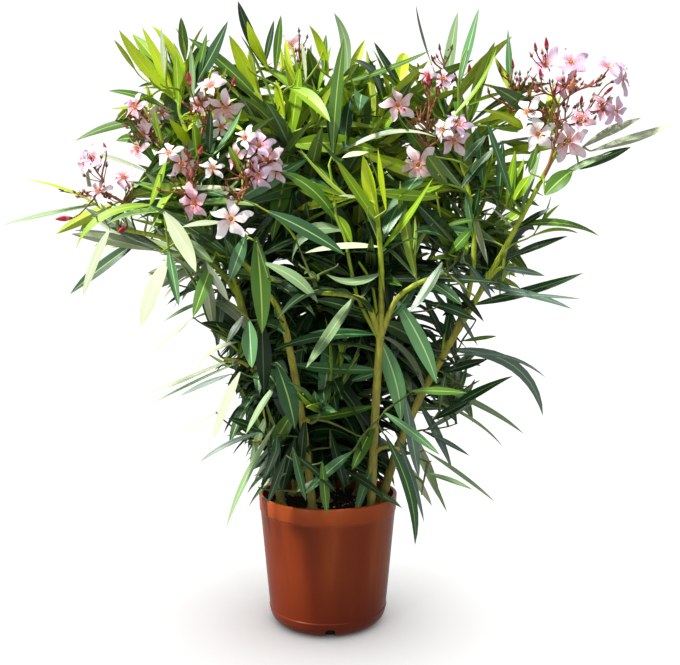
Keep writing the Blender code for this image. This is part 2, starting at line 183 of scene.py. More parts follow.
# Plain base colours of the leaves: upper side, midrib, underside and upper roughness.
LEAF_COLOURS = {
    # deep: the darkest green, darker than the leaves' own, for leaves that lie in deep shade: painted shade.
    "deep": ((0.007, 0.029, 0.008), (0.12, 0.20, 0.05), (0.030, 0.065, 0.022), 0.40),
    "dark": ((0.019, 0.074, 0.022), (0.25, 0.38, 0.11), (0.070, 0.130, 0.045), 0.36),
    # leek: a dark green made lighter for shaded leaves in front, standing in for the sky's sheen on them:
    # painted sheen.
    "leek": ((0.055, 0.168, 0.055), (0.36, 0.52, 0.22), (0.130, 0.220, 0.080), 0.36),
    "mid": ((0.070, 0.180, 0.018), (0.39, 0.52, 0.10), (0.160, 0.250, 0.060), 0.40),
    "fresh": ((0.195, 0.350, 0.007), (0.48, 0.60, 0.08), (0.250, 0.370, 0.040), 0.43),
    # lime: young leaves' own yellow-green, made brighter to stand in for sun shining through them: partly
    # painted light.
    "lime": ((0.470, 0.630, 0.005), (0.56, 0.66, 0.09), (0.390, 0.510, 0.035), 0.46),
    "sage": ((0.200, 0.325, 0.140), (0.44, 0.53, 0.31), (0.270, 0.350, 0.190), 0.47),
    # pale: green made whitish for leaves that are sunlit and overexposed, on upper side, midrib and
    # underside: painted sunlight.
    "pale": ((0.400, 0.465, 0.300), (0.60, 0.66, 0.44), (0.380, 0.460, 0.260), 0.50),
    "grey": ((0.100, 0.175, 0.125), (0.38, 0.45, 0.33), (0.200, 0.250, 0.190), 0.44),
    "jade": ((0.105, 0.260, 0.098), (0.44, 0.60, 0.30), (0.170, 0.270, 0.120), 0.38),
    # cream: paler still, for the brightest sunlit leaves: painted sunlight.
    "cream": ((0.560, 0.630, 0.390), (0.68, 0.74, 0.50), (0.520, 0.580, 0.400), 0.50),
}
# Photo leaves of these families lie in the sun: they turn towards it, and nothing shades them.
SUNLIT = ("pale", "cream", "lime", "fresh", "sage", "jade")
SUN_TURN = 0.9
# How much nearer to the camera than their feet the tips are, and by how much that differs.
TIP_NEARER = 0.015
TIP_SPREAD = 0.02
# How an arched leaf starts off its chord and bends back to it, for each unit of its arch.
ARCH_START = 2.2
ARCH_BEND = -4.4
PHOTO_LEAF_WIDER = 1.05  # since a folded leaf shows less than its width

# Leaves that stand out in the photo. Each row: the pixel of its base and of its tip, its width in
# pixels, its family, the depth (y) of its base, and how far it arches up as a share of its length.
PHOTO_LEAVES = (
    # top left
    (171, 103, 119, 30, 13, "lime", 0.00, -0.06), (171, 103, 142, 27, 13, "lime", -0.01, 0.02),
    (165, 107, 108, 91, 8, "mid", 0.00, 0.10), (171, 80, 161, 26, 6, "pale", 0.05, 0.0),
    (178, 60, 181, 17, 9, "mid", 0.05, 0.0), (193, 92, 228, 21, 14, "dark", -0.02, -0.03),
    (196, 90, 207, 33, 9, "mid", 0.04, 0.0), (183, 110, 176, 52, 12, "fresh", 0.03, 0.0),
    (192, 112, 190, 44, 9, "sage", 0.02, 0.06), (158, 163, 127, 119, 10, "mid", -0.08, 0.0),
    (163, 145, 153, 106, 10, "fresh", -0.06, 0.0), (193, 150, 169, 119, 11, "lime", -0.09, 0.02),
    (213, 155, 242, 108, 10, "jade", -0.09, -0.10), (212, 150, 211, 110, 10, "deep", -0.08, 0.0),
    (242, 172, 229, 146, 9, "fresh", -0.12, 0.0), (150, 205, 167, 158, 15, "fresh", -0.10, 0.0),
    (165, 118, 75, 141, 9, "mid", 0.02, 0.10), (150, 168, 80, 152, 5, "pale", -0.03, 0.08),
    # top middle
    (263, 96, 229, 35, 15, "lime", -0.05, 0.02), (263, 100, 188, 38, 12, "mid", 0.00, 0.06),
    (264, 66, 238, 1, 11, "deep", 0.03, -0.05), (270, 66, 247, 21, 12, "lime", -0.02, -0.06),
    (276, 70, 281, 15, 9, "mid", 0.05, 0.0), (267, 60, 274, 20, 6, "dark", 0.08, 0.0),
    (289, 145, 300, 66, 19, "fresh", -0.07, 0.0), (284, 120, 276, 80, 11, "lime", -0.04, 0.0),
    (333, 152, 344, 38, 13, "mid", -0.10, 0.03), (328, 76, 309, 25, 12, "lime", 0.00, 0.12),
    (346, 84, 334, 13, 12, "sage", 0.03, 0.16), (310, 85, 301, 40, 5, "cream", 0.02, 0.05),
    (318, 90, 331, 46, 9, "fresh", 0.03, 0.0), (300, 82, 293, 44, 5, "fresh", 0.05, 0.0),
    (381, 92, 352, 60, 7, "grey", 0.02, 0.25),
    (320, 76, 326, 34, 9, "mid", 0.06, 0.0), (345, 150, 352, 95, 15, "dark", -0.06, 0.05),
    (246, 190, 172, 188, 8, "cream", -0.15, 0.02), (338, 222, 281, 172, 16, "mid", -0.16, 0.16),
    # top right
    (446, 92, 458, 12, 13, "sage", 0.00, 0.03), (451, 88, 479, 8, 12, "jade", 0.02, 0.0),
    (446, 122, 497, 47, 6, "fresh", -0.03, -0.12), (511, 95, 508, 29, 10, "jade", 0.00, 0.0),
    (403, 90, 374, 42, 10, "dark", 0.02, -0.03), (340, 84, 431, 50, 6, "mid", 0.00, -0.04),
    (340, 150, 436, 137, 7, "pale", -0.14, 0.20), (430, 60, 416, 5, 3, "grey", 0.09, -0.05),
    (512, 197, 486, 120, 9, "leek", -0.07, 0.0), (511, 202, 530, 176, 15, "fresh", -0.08, 0.0),
    (545, 195, 573, 170, 17, "mid", -0.08, 0.05), (583, 147, 641, 118, 13, "pale", -0.05, 0.03),
    (591, 151, 676, 123, 12, "pale", -0.04, -0.03), (580, 169, 631, 147, 9, "dark", -0.04, 0.02),
    (519, 232, 550, 208, 8, "deep", -0.03, 0.0), (555, 178, 612, 152, 10, "sage", -0.06, 0.03),
    # middle front
    (380, 218, 363, 155, 16, "lime", -0.18, 0.0), (386, 210, 378, 148, 10, "lime", -0.16, 0.0),
    (384, 252, 433, 178, 12, "fresh", -0.17, -0.04), (337, 232, 292, 262, 16, "sage", -0.20, 0.40),
    (262, 214, 345, 255, 16, "dark", -0.16, 0.05), (378, 247, 305, 253, 9, "cream", -0.20, 0.08),
    (379, 273, 326, 274, 12, "sage", -0.20, -0.25), (256, 237, 262, 334, 19, "mid", -0.20, 0.03),
    (246, 235, 229, 282, 14, "leek", -0.18, 0.0), (270, 259, 318, 303, 14, "sage", -0.21, 0.14),
    (354, 296, 306, 368, 19, "sage", -0.19, 0.0), (391, 297, 437, 384, 20, "jade", -0.20, 0.07),
    (384, 341, 401, 422, 22, "jade", -0.20, 0.10), (371, 336, 274, 350, 11, "dark", -0.19, 0.10),
    (377, 369, 290, 364, 13, "leek", -0.18, -0.04), (376, 406, 299, 419, 11, "mid", -0.17, -0.05),
    (389, 279, 500, 283, 13, "deep", -0.14, 0.04), (372, 421, 352, 470, 15, "mid", -0.17, 0.0),
    (370, 462, 355, 516, 14, "jade", -0.14, 0.0), (384, 412, 440, 455, 10, "jade", -0.15, 0.03),
    (385, 435, 415, 545, 12, "dark", -0.16, 0.13), (411, 391, 467, 393, 8, "mid", -0.12, 0.03),
    (277, 365, 295, 429, 21, "dark", -0.20, 0.05), (262, 320, 264, 396, 18, "deep", -0.18, 0.0),
    (249, 320, 252, 368, 20, "jade", -0.20, 0.0), (272, 385, 246, 434, 9, "sage", -0.16, 0.04),
    (322, 462, 327, 515, 11, "mid", -0.16, 0.0), (293, 448, 306, 501, 10, "leek", -0.16, 0.0),
    (377, 222, 336, 160, 13, "fresh", -0.16, 0.0), (366, 194, 338, 196, 5, "pale", -0.17, 0.05),
    (336, 215, 352, 243, 12, "fresh", -0.19, 0.05),
    (366, 312, 315, 300, 13, "deep", -0.19, 0.05), (387, 320, 420, 276, 12, "dark", -0.19, -0.05),
    (224, 222, 182, 227, 9, "pale", -0.18, 0.05), (212, 262, 178, 236, 11, "sage", -0.20, 0.05),
    (228, 300, 206, 262, 10, "pale", -0.20, 0.0),
    (348, 277, 308, 256, 9, "deep", -0.14, 0.0), (374, 337, 309, 333, 9, "jade", -0.18, 0.05),
    (377, 372, 351, 381, 8, "leek", -0.12, 0.0), (368, 152, 342, 158, 10, "cream", -0.15, 0.05),
    (352, 452, 305, 494, 13, "leek", -0.15, 0.03), (379, 490, 402, 508, 7, "leek", -0.13, 0.05),
    (296, 492, 323, 479, 8, "pale", -0.12, 0.03), (258, 487, 287, 473, 8, "pale", -0.12, 0.0),
    (283, 441, 261, 489, 10, "deep", -0.13, 0.0), (262, 432, 228, 418, 9, "dark", -0.10, 0.03),
    (296, 440, 280, 497, 11, "deep", -0.12, 0.0), (300, 455, 336, 492, 10, "deep", -0.10, 0.05),
    (345, 470, 384, 497, 9, "deep", -0.08, 0.05), (330, 430, 345, 488, 12, "deep", -0.08, 0.0),
    (305, 420, 299, 480, 12, "deep", -0.18, 0.0),
    (440, 262, 409, 312, 12, "dark", -0.15, -0.06), (424, 276, 462, 305, 12, "dark", -0.15, 0.05),
    (402, 296, 446, 268, 12, "dark", -0.16, -0.04), (262, 445, 281, 495, 11, "grey", -0.13, 0.0),
    (286, 455, 268, 503, 10, "deep", -0.14, 0.0), (272, 432, 273, 488, 11, "dark", -0.12, 0.0),
    (407, 402, 419, 478, 12, "grey", -0.12, 0.0), (268, 415, 250, 462, 12, "sage", -0.11, 0.0),
    # left
    (110, 228, 83, 296, 14, "pale", -0.10, 0.05), (143, 240, 70, 294, 14, "dark", -0.08, 0.03),
    (150, 202, 76, 248, 13, "fresh", -0.12, 0.25), (97, 204, 3, 225, 10, "sage", -0.06, 0.02),
    (97, 204, 27, 180, 4, "lime", -0.05, 0.10), (164, 212, 196, 272, 17, "cream", -0.20, 0.08),
    (168, 258, 141, 327, 20, "pale", -0.16, 0.04), (172, 250, 179, 306, 14, "jade", -0.18, 0.0),
    (215, 262, 193, 317, 14, "mid", -0.18, 0.0), (193, 317, 153, 353, 9, "pale", -0.14, 0.0),
    (238, 368, 152, 404, 5, "sage", -0.08, 0.03),
    (176, 262, 150, 300, 8, "pale", -0.04, 0.0), (205, 300, 163, 322, 6, "sage", -0.02, 0.05),
    (239, 348, 197, 372, 7, "pale", -0.14, 0.25), (232, 361, 141, 397, 7, "pale", -0.10, 0.0),
    (242, 318, 226, 344, 9, "deep", -0.16, 0.0), (240, 372, 213, 440, 14, "pale", -0.16, 0.04),
    (231, 374, 180, 396, 6, "grey", -0.08, 0.04), (275, 425, 226, 528, 11, "sage", -0.14, 0.05),
    (262, 432, 200, 462, 6, "grey", -0.10, 0.10), (216, 412, 180, 437, 5, "pale", -0.08, 0.0),
    # right
    (478, 307, 583, 273, 12, "dark", -0.04, -0.03), (488, 292, 572, 309, 7, "grey", -0.03, 0.07),
    (501, 268, 545, 276, 7, "grey", -0.02, 0.05), (510, 261, 568, 236, 9, "deep", -0.03, 0.03),
    (521, 227, 599, 236, 9, "mid", -0.04, 0.16), (449, 352, 543, 416, 11, "grey", -0.06, 0.32),
    (455, 356, 546, 378, 4, "grey", -0.03, 0.20), (438, 381, 524, 434, 9, "sage", -0.06, 0.08),
    (432, 400, 503, 447, 4, "sage", -0.04, 0.12), (443, 372, 488, 359, 10, "deep", -0.06, 0.0),
    (436, 417, 513, 376, 12, "dark", -0.05, 0.05), (432, 420, 471, 400, 9, "deep", -0.06, 0.0),
    (424, 450, 495, 502, 5, "sage", -0.04, 0.04), (421, 468, 473, 490, 7, "sage", -0.04, 0.05),
    (462, 341, 497, 336, 5, "mid", -0.03, 0.0), (405, 425, 440, 500, 12, "pale", -0.10, 0.04),
    (398, 440, 424, 522, 10, "grey", -0.12, 0.03), (415, 400, 452, 470, 12, "grey", -0.06, 0.05),
    (425, 425, 470, 456, 6, "grey", -0.02, 0.04), (395, 455, 432, 506, 9, "pale", -0.08, 0.05),
    (420, 452, 447, 512, 6, "sage", -0.02, 0.0), (452, 298, 478, 346, 7, "grey", 0.00, 0.0),
    (455, 283, 484, 322, 8, "deep", 0.03, 0.05), (444, 308, 455, 362, 9, "deep", 0.02, 0.0),
    (465, 268, 492, 300, 8, "grey", 0.00, 0.04), (506, 207, 515, 150, 9, "fresh", -0.02, 0.0),
    (499, 200, 503, 140, 9, "dark", 0.01, 0.0), (500, 294, 581, 299, 4, "grey", -0.04, 0.02),
    (417, 292, 460, 297, 9, "dark", -0.10, 0.05), (476, 320, 425, 303, 11, "dark", -0.04, 0.08),
    (446, 342, 424, 298, 9, "deep", -0.04, 0.0), (456, 324, 431, 288, 9, "leek", -0.02, 0.0),
    (440, 346, 452, 300, 8, "dark", 0.00, 0.0), (462, 320, 446, 284, 9, "deep", 0.02, 0.0),
    (430, 352, 410, 322, 9, "dark", -0.02, 0.0), (449, 254, 473, 228, 11, "mid", -0.10, 0.0),
    (478, 206, 488, 265, 10, "cream", -0.08, 0.0),
    (510, 228, 491, 207, 5, "pale", -0.06, 0.0), (447, 225, 485, 220, 5, "mid", -0.12, 0.10),
    (474, 300, 442, 316, 12, "deep", -0.06, 0.0), (520, 215, 541, 150, 8, "sage", 0.00, 0.0),
    (505, 215, 524, 158, 11, "fresh", 0.02, 0.0), (484, 190, 478, 128, 11, "leek", 0.00, 0.0),
    (460, 187, 495, 147, 10, "dark", -0.08, 0.0), (458, 163, 486, 136, 11, "dark", -0.05, 0.0),
    (491, 193, 493, 152, 6, "fresh", -0.08, 0.0), (498, 202, 504, 178, 8, "mid", -0.09, 0.0),
    (529, 172, 537, 146, 7, "mid", -0.06, 0.0), (512, 219, 516, 150, 8, "mid", -0.06, 0.0),
    (477, 219, 480, 186, 8, "dark", -0.05, 0.0), (470, 240, 466, 190, 9, "jade", -0.07, 0.0),
)

# Limbs that show in the photo: what they leave, how far they lean towards the camera, their
# radius, and the pixels that they pass, the first of them on what they leave.
PHOTO_TWIGS = (
    ("stem_front", 0.02, 0.0036, ((378, 342), (358, 298), (350, 265), (345, 238), (336, 215), (334, 193),
                                  (329, 165))),
    ("stem_front", 0.01, 0.0034, ((379, 340), (376, 310), (371, 282), (359, 262))),
    ("stem_right", 0.00, 0.0030, ((441, 358), (447, 320), (449, 293), (447, 265), (443, 235), (436, 190))),
)

# Flower heads of the photo: the mass, the pixel and depth where the stalk leaves its shoot, and
# the ends of the stalks as pixel, kind, size in mm, and how far each turns right and up from the
# camera. A kind with a colour's name is an open flower, and 0 to 3 are buds from red to green.
PHOTO_HEADS = (
    ("mass_far_left", (146, 214), -0.08, (
        (93, 158, "lilac", 22, -1.0, 0.7), (123, 177, "rose", 21, -0.4, 0.7),
        (99, 191, "pink", 20, -0.9, 0.4), (84, 163, "lilac", 17, -1.2, 0.2),
        (72, 218, 0, 27, -1.4, 0.0), (127, 227, 0, 25, -0.9, -0.5), (63, 191, 3, 10, -0.9, 0.3),
        (79, 197, 2, 10, -0.7, 0.2), (106, 150, 1, 14, -0.3, 1.2), (112, 204, 0, 13, -0.7, 0.4))),
    ("mass_far_left", (163, 150), 0.00, (
        (135, 107, "rose", 21, -0.5, 0.6), (147, 117, "pink", 21, -0.2, 0.3),
        (162, 112, "pink", 20, 0.3, 0.6), (143, 133, "pink", 20, -0.6, 0.1),
        (137, 149, "rose", 20, -0.7, 0.3), (128, 128, 1, 13, -0.8, 0.6))),
    ("mass_left", (186, 214), -0.15, (
        (169, 153, "white", 21, -0.4, 0.9), (182, 164, "pink", 20, 0.4, 0.3),
        (194, 203, "rose", 24, -0.8, 0.1), (213, 168, "white", 16, 0.3, 0.8),
        (191, 179, 1, 19, 0.1, 1.2), (199, 155, 0, 18, 0.3, 1.2), (187, 148, 3, 11, 0.0, 1.2),
        (160, 190, 2, 11, -0.6, 0.6))),
    ("mass_left", (243, 200), -0.19, (
        (231, 219, "white", 27, -0.1, 0.1), (250, 186, 2, 11, 0.2, 1.0), (225, 190, 2, 10, -0.6, 0.8))),
    ("mass_top_left", (198, 150), -0.06, (
        (211, 86, "pink", 24, -0.3, 1.1), (225, 108, "pink", 27, -0.5, -0.5),
        (200, 104, "pink", 15, -0.6, 0.4), (221, 127, "white", 17, 0.4, 0.0),
        (190, 86, 0, 24, -0.1, 1.4), (232, 86, 0, 19, 0.5, 1.2), (192, 115, 0, 14, -0.3, 1.2),
        (203, 80, 3, 9, 0.0, 1.0))),
    ("mass_left", (243, 196), -0.14, (
        (245, 138, "white", 19, -0.4, 0.6), (259, 145, "lilac", 22, 0.2, 0.8),
        (267, 160, "pink", 25, 0.1, 0.2), (258, 175, "lilac", 21, -0.4, -0.2),
        (277, 170, "pink", 20, 0.8, 0.1), (236, 157, "pink", 17, -0.7, 0.2),
        (240, 178, 2, 11, 0.0, 1.0), (222, 178, 3, 10, -0.3, 1.0))),
    ("mass_back_top", (300, 88), 0.12, (
        (291, 46, "pink", 25, -0.1, 0.5), (284, 65, "pink", 21, -0.5, 0.3),
        (316, 66, "white", 20, 0.5, 0.6), (299, 32, 3, 10, 0.0, 1.2), (307, 38, 3, 9, 0.1, 1.2))),
    ("mass_top_right_middle", (428, 172), -0.06, (
        (398, 105, "pink", 25, -0.1, 0.3), (454, 140, "pink", 26, 0.0, 0.2),
        (459, 124, "lilac", 20, 0.3, 0.9), (443, 130, "white", 18, -0.6, 0.4),
        (418, 165, "pink", 29, -0.1, 0.1), (428, 86, 0, 23, 0.1, 1.3), (437, 93, 0, 23, 0.3, 1.2),
        (413, 124, 0, 16, -0.7, 0.5), (407, 113, 0, 14, -0.6, 0.6), (427, 75, "lilac", 14, -0.3, 0.8),
        (443, 79, "lilac", 15, 0.3, 0.6))),
    ("mass_top_right", (446, 98), 0.07, (
        (440, 50, 3, 13, -0.1, 1.3), (433, 61, 3, 13, -0.2, 1.2), (447, 55, 3, 12, 0.1, 1.3),
        (419, 68, 3, 11, -0.3, 1.2), (470, 75, 0, 22, 0.0, 1.3), (477, 82, 2, 12, 0.3, 1.0))),
    ("mass_right_flowers", (545, 175), -0.07, (
        (546, 64, "lilac", 27, -0.2, 0.8), (571, 62, "lilac", 27, 0.1, 0.9),
        (608, 67, "lilac", 28, 0.3, 1.0), (623, 78, "lilac", 23, 1.0, 0.3),
        (527, 112, "white", 23, -0.5, 0.5), (538, 134, "white", 27, 0.0, 0.2),
        (569, 141, "pink", 29, 0.2, -0.1), (565, 86, "rose", 21, 0.0, 0.3),
        (581, 119, "rose", 19, 0.3, 0.6), (603, 108, "rose", 21, 0.6, 0.5),
        (616, 112, "lilac", 19, 0.9, 0.1), (547, 50, 0, 22, 0.0, 1.4), (536, 51, 0, 15, -0.1, 1.4),
        (541, 79, 0, 20, -0.1, 1.2), (553, 97, 0, 20, 0.1, 1.2), (570, 93, 2, 26, 0.1, 1.2),
        (581, 105, 0, 18, 0.2, 1.1), (605, 94, 0, 20, 0.7, 0.8), (590, 86, 1, 14, 0.4, 0.9),
        (536, 92, 1, 15, -0.3, 1.2), (563, 106, 0, 15, 0.0, 1.1), (556, 120, 2, 13, -0.1, 1.0),
        (593, 122, 1, 17, 0.6, 0.6), (575, 77, 1, 14, 0.2, 1.2), (529, 96, 2, 12, -0.4, 1.1),
        (546, 110, 3, 11, -0.1, 1.2), (599, 80, 2, 12, 0.5, 1.0))),
    ("mass_top_right", (509, 125), -0.01, (
        (500, 72, 3, 15, -0.1, 1.3), (513, 68, 0, 16, 0.0, 1.3), (523, 86, 3, 13, 0.2, 1.2),
        (518, 90, 2, 12, 0.1, 1.2), (530, 74, 3, 13, 0.1, 1.2), (489, 93, 3, 12, -0.2, 1.2))),
)
HEAD_DEPTH = 0.022  # how far a bloom of the photo may lie in front of or behind its head's middle

# How many heads of no set place each mass carries, on its outermost and highest shoots.
MORE_HEADS = {"mass_back_left": 4, "mass_back_right": 4, "mass_back": 4, "mass_back_top": 2}
HEADS_BELOW = 0.93  # the height that they stay under
HEADS_BEHIND = 0.12  # the y that they stay behind
OPEN_SHARE = 0.55  # of their blooms, the rest are buds
HEAD_BLOOMS = (8, 12)
HEAD_STALK = (0.035, 0.050)
HEAD_LEAN = (0.15, 1.25)
HEAD_REACH = (0.030, 0.052)
OPEN_SIZE = (0.020, 0.027)
BUD_SIZE = (0.010, 0.022)
HEAD_INWARD = 0.16  # how far towards the crown's middle its shoot is drawn
CROWN_MIDDLE = Vector((0.0, 0.0, 0.75))

# Masses whose tips towards the camera are leaves of the photo alone, and the share of the usual
# count of shoots that each grows.
OPEN_MASSES = {
    "mass_front_top": 0.45, "mass_front_right": 0.50, "mass_front_middle": 0.50, "mass_front_low": 0.60,
    "mass_left": 0.55, "mass_far_left": 0.45, "mass_left_low": 0.35, "mass_left_skirt": 0.35,
    "mass_right_low": 0.50, "mass_right_skirt": 0.50, "mass_right": 0.42, "mass_right_flowers": 0.35,
}
OPEN_SIDE = 0.06  # a tip with a smaller y is towards the camera
# All the masses that grow fewer shoots: the photo shows sky there, or the dark between leaves.
THINNED = {**OPEN_MASSES, "mass_top_right": 0.55, "mass_top_right_middle": 0.65, "mass_back_low_left": 0.80}

# The crown's outline in the photo: for each row of pixels its left and right ends.
OUTLINE = (
    (0, 118, 485), (30, 112, 512), (60, 108, 530), (100, 100, 560), (130, 85, 575), (160, 82, 560),
    (200, 80, 552), (225, 70, 552), (235, 66, 560), (260, 75, 545), (290, 104, 520), (312, 178, 500),
    (330, 208, 476), (345, 222, 478), (380, 234, 484), (420, 240, 472), (460, 243, 458), (500, 247, 440),
    (545, 252, 420),
)
OUTLINE_KEPT = 0.12  # the share of leaves that pass it
OUTLINE_PASS = 20.0  # by how many pixels, at the most

# The close-grown middle of the crown: its half width at each height, and its depth for its width.
CORE_RADII = (
    (0.20, 0.12), (0.32, 0.16), (0.50, 0.20), (0.68, 0.28), (0.80, 0.33), (0.90, 0.27), (0.95, 0.10),
)
CORE_DEPTH = 0.80
CORE_BACK = 0.03  # the y of its middle
CORE_WHORLS = 620
CORE_LOW = 0.50  # a third of its whorls grow below this height
CORE_LENGTH = (0.145, 0.185)
CORE_DROOP = (0.5, 1.3)
# The height up to which growth droops, and over how much more height it turns upright.
CORE_UPRIGHT = (0.45, 0.4)
MASS_UPRIGHT = (0.36, 0.30)

# Low in front, between the stems, and at the stems' feet, the leaves get the darkest families: painted shade.
PAINTED_SHADE_FAMILIES = ("deep", "deep", "deep", "dark")
SHADE_TOP = 0.64
SHADE_BACK = 0.08
SHADE_MIDDLE = 0.02
SHADE_SIDE = 0.13
FEET_TOP = 0.30
FEET_WHORLS = 46
FEET_LENGTH = (0.09, 0.15)
FEET_ANGLE = (35, 80)
FEET_DROOP = (0.5, 1.2)

TO_SUN = Vector((-0.62, -0.22, 0.95)).normalized()
# Limbs that show in the photo: leaves of no set place don't grow in front of them.
FRONT_LIMBS = ("stem_front", "stem_right", "bough_front_top", "bough_right_flowers", "bough_top_right",
               "bough_far_left")
LOWEST_LEAF = 0.232  # the least height at which twigs and leaves leave a limb
# Leaves along limbs: from which height, how far apart, and the share of their places that bear.
BOUGH_LEAVES = (0.30, 0.032, 0.75)
STEM_LEAVES = (LOWEST_LEAF, 0.030, 0.7)
LIMB_LENGTH = 0.175
LIMB_ANGLE = (55, 90)
LIMB_DROOP = (0.7, 1.5)

# How wide a line of sight, or of sun, the leaves of no set place leave free, and how long it is.
LEAF_CLEARANCE = 0.011
STEM_CLEARANCE = 0.010
FLOWER_CLEARANCE = 0.019
CLEAR_START = 0.003
CLEAR_REACH = 0.24

LEAST_RISE = 0.30  # how steeply a twig has to rise to a place
SHOOT_STEP = 0.012  # between the points of a shoot
SHOOT_MARGIN = 14.0  # how many pixels inside the outline a shoot ends
TIP_SHARED = 9.0  # a mass's tip this near to a photo leaf's, in pixels, is that leaf's
# Below it twigs get a darker olive, partly older wood and partly painted shade.
GREEN_WOOD = 0.60  # the height above which twigs are green
# Radii of twigs and shoots. A twig's is for one shoot, and more for those that it carries.
TWIG_RADIUS = 0.0014
TWIG_RADIUS_MORE = 0.0007
SHOOT_RADIUS = 0.0022
SIDE_SHOOT_RADIUS = 0.0024
SHOOT_END_RADIUS = 0.0011
LEAF_TWIG_RADII = (0.0019, 0.0012)
CYME_RADIUS = 0.0026
FORKS_AT = (0.22, 0.40)  # how far along to the middle of its shoots a twig forks

# A photo leaf leaves the limb that the photo shows at its foot, within SNAP_PIXELS and SNAP_DEPTH
# of it, or one within SNAP_REACH, or a side twig. That twig comes from below if it is then at most
# LONGER_ALLOWED times as long.
SNAP_PIXELS = 8.0
SNAP_DEPTH = 0.13
PIXELS_FOR_DEPTH = 90.0
SNAP_REACH = 0.010
LONGER_ALLOWED = 1.6
LONGEST_SHOOT = 0.14  # in the front half, for a shoot that carries no flowers
DETOUR = 0.45  # a shoot leaves another twig where that makes it this much shorter

rng = random.Random(SEED)


def photo_point(px, py, depth):
    """The place with y = depth that the photo shows at pixel (px, py)."""
    right = (px - PHOTO_WIDTH / 2) / FOCAL_PIXELS
    up = (PHOTO_HEIGHT / 2 - py) / FOCAL_PIXELS
    ray = Vector((right, TILT_COSINE + up * TILT_SINE, up * TILT_COSINE - TILT_SINE))
    return CAMERA_PLACE + ray * ((depth - CAMERA_PLACE.y) / ray.y)


def photo_pixel(place):
    """The pixel at which the photo shows a place."""
    x, y, z = place - CAMERA_PLACE
    depth = y * TILT_COSINE - z * TILT_SINE
    up = z * TILT_COSINE + y * TILT_SINE
    return PHOTO_WIDTH / 2 + FOCAL_PIXELS * x / depth, PHOTO_HEIGHT / 2 - FOCAL_PIXELS * up / depth


def pixels_off(place, pixel):
    """How many pixels from the one given the photo shows a place."""
    x, y = photo_pixel(place)
    return math.hypot(x - pixel[0], y - pixel[1])


def to_camera(place):
    return (CAMERA_PLACE - place).normalized()


def jitter(amount):
    return rng.uniform(-amount, amount)


def any_side(direction):
    """A unit vector square to the direction."""
    other = UP if abs(direction.z) < 0.9 else Vector((1.0, 0.0, 0.0))
    return direction.cross(other).normalized()


def add_object(name, data):
    made = bpy.data.objects.new(name, data)
    bpy.context.scene.collection.objects.link(made)
    return made


def put_bmesh(name, shape):
    mesh = bpy.data.meshes.new(name)
    shape.to_mesh(mesh)
    shape.free()
    return add_object(name, mesh)


# Materials


def new_material(name, colour, roughness, specular):
    material = bpy.data.materials.new(name)
    material.use_nodes = True
    shader = material.node_tree.nodes["Principled BSDF"]
    shader.inputs["Base Color"].default_value = (*colour, 1.0)
    shader.inputs["Roughness"].default_value = roughness
    shader.inputs["Specular IOR Level"].default_value = specular
    material.diffuse_color = (*colour, 1.0)
    return material


class Nodes:
    """Adds nodes to a material and links them."""

    def __init__(self, material):
        self.tree = material.node_tree
        self.shader = self.tree.nodes["Principled BSDF"]

    def add(self, kind, **settings):
        node = self.tree.nodes.new("ShaderNode" + kind)
        for name, value in settings.items():
            setattr(node, name, value)
        return node

    def link(self, source, target):
        self.tree.links.new(source, target)

    def feed(self, name, source):
        """Links a source to the shader's socket of that name."""
        self.link(source, self.shader.inputs[name])

    def put(self, socket, value):
        """Sets a socket to a number or a colour, or links another node's output to it."""
        if isinstance(value, float):
            socket.default_value = value
        elif isinstance(value, tuple):
            socket.default_value = (*value, 1.0)
        else:
            self.link(value, socket)

    def math(self, operation, *values):
        node = self.add("Math", operation=operation)
        for socket, value in zip(node.inputs, values):
            self.put(socket, value)
        return node.outputs[0]

    def part(self, kind, output, letter):
        """One part, X, Y or Z, of a texture coordinate."""
        split = self.add("SeparateXYZ")
        self.link(self.add(kind).outputs[output], split.inputs["Vector"])
        return split.outputs[letter]

    def noise(self, scale, detail=3.0, stretch=None):
        texture = self.add("TexNoise")
        texture.inputs["Scale"].default_value = scale
        texture.inputs["Detail"].default_value = detail
        place = self.add("TexCoord").outputs["Object"]
        if stretch:
            mapping = self.add("Mapping")
            mapping.inputs["Scale"].default_value = stretch
            self.link(place, mapping.inputs["Vector"])
            place = mapping.outputs["Vector"]
        self.link(place, texture.inputs["Vector"])
        return texture.outputs["Fac"]

    def ramp(self, source, stops):
        """stops gives positions, each with a colour or a grey."""
        node = self.add("ValToRGB")
        band = node.color_ramp
        while len(band.elements) < len(stops):
            band.elements.new(0.5)
        for element, (position, colour) in zip(band.elements, stops):
            element.position = position
            element.color = (*(colour if isinstance(colour, tuple) else [colour] * 3), 1.0)
        self.link(source, node.inputs["Fac"])
        return node.outputs["Color"]

    def mix(self, share, first, second):
        node = self.add("Mix", data_type="RGBA")
        for number, value in ((0, share), (6, first), (7, second)):
            self.put(node.inputs[number], value)
        return node.outputs[2]

    def bump(self, height, strength, distance, below=None):
        node = self.add("Bump")
        node.inputs["Strength"].default_value = strength
        node.inputs["Distance"].default_value = distance
        self.link(height, node.inputs["Height"])
        if below is not None:
            self.link(below, node.inputs["Normal"])
        return node.outputs["Normal"]


VEINS = 1100.0  # how fast the side veins follow each other, in radians for each unit of U
VEIN_SLANT = 60.0


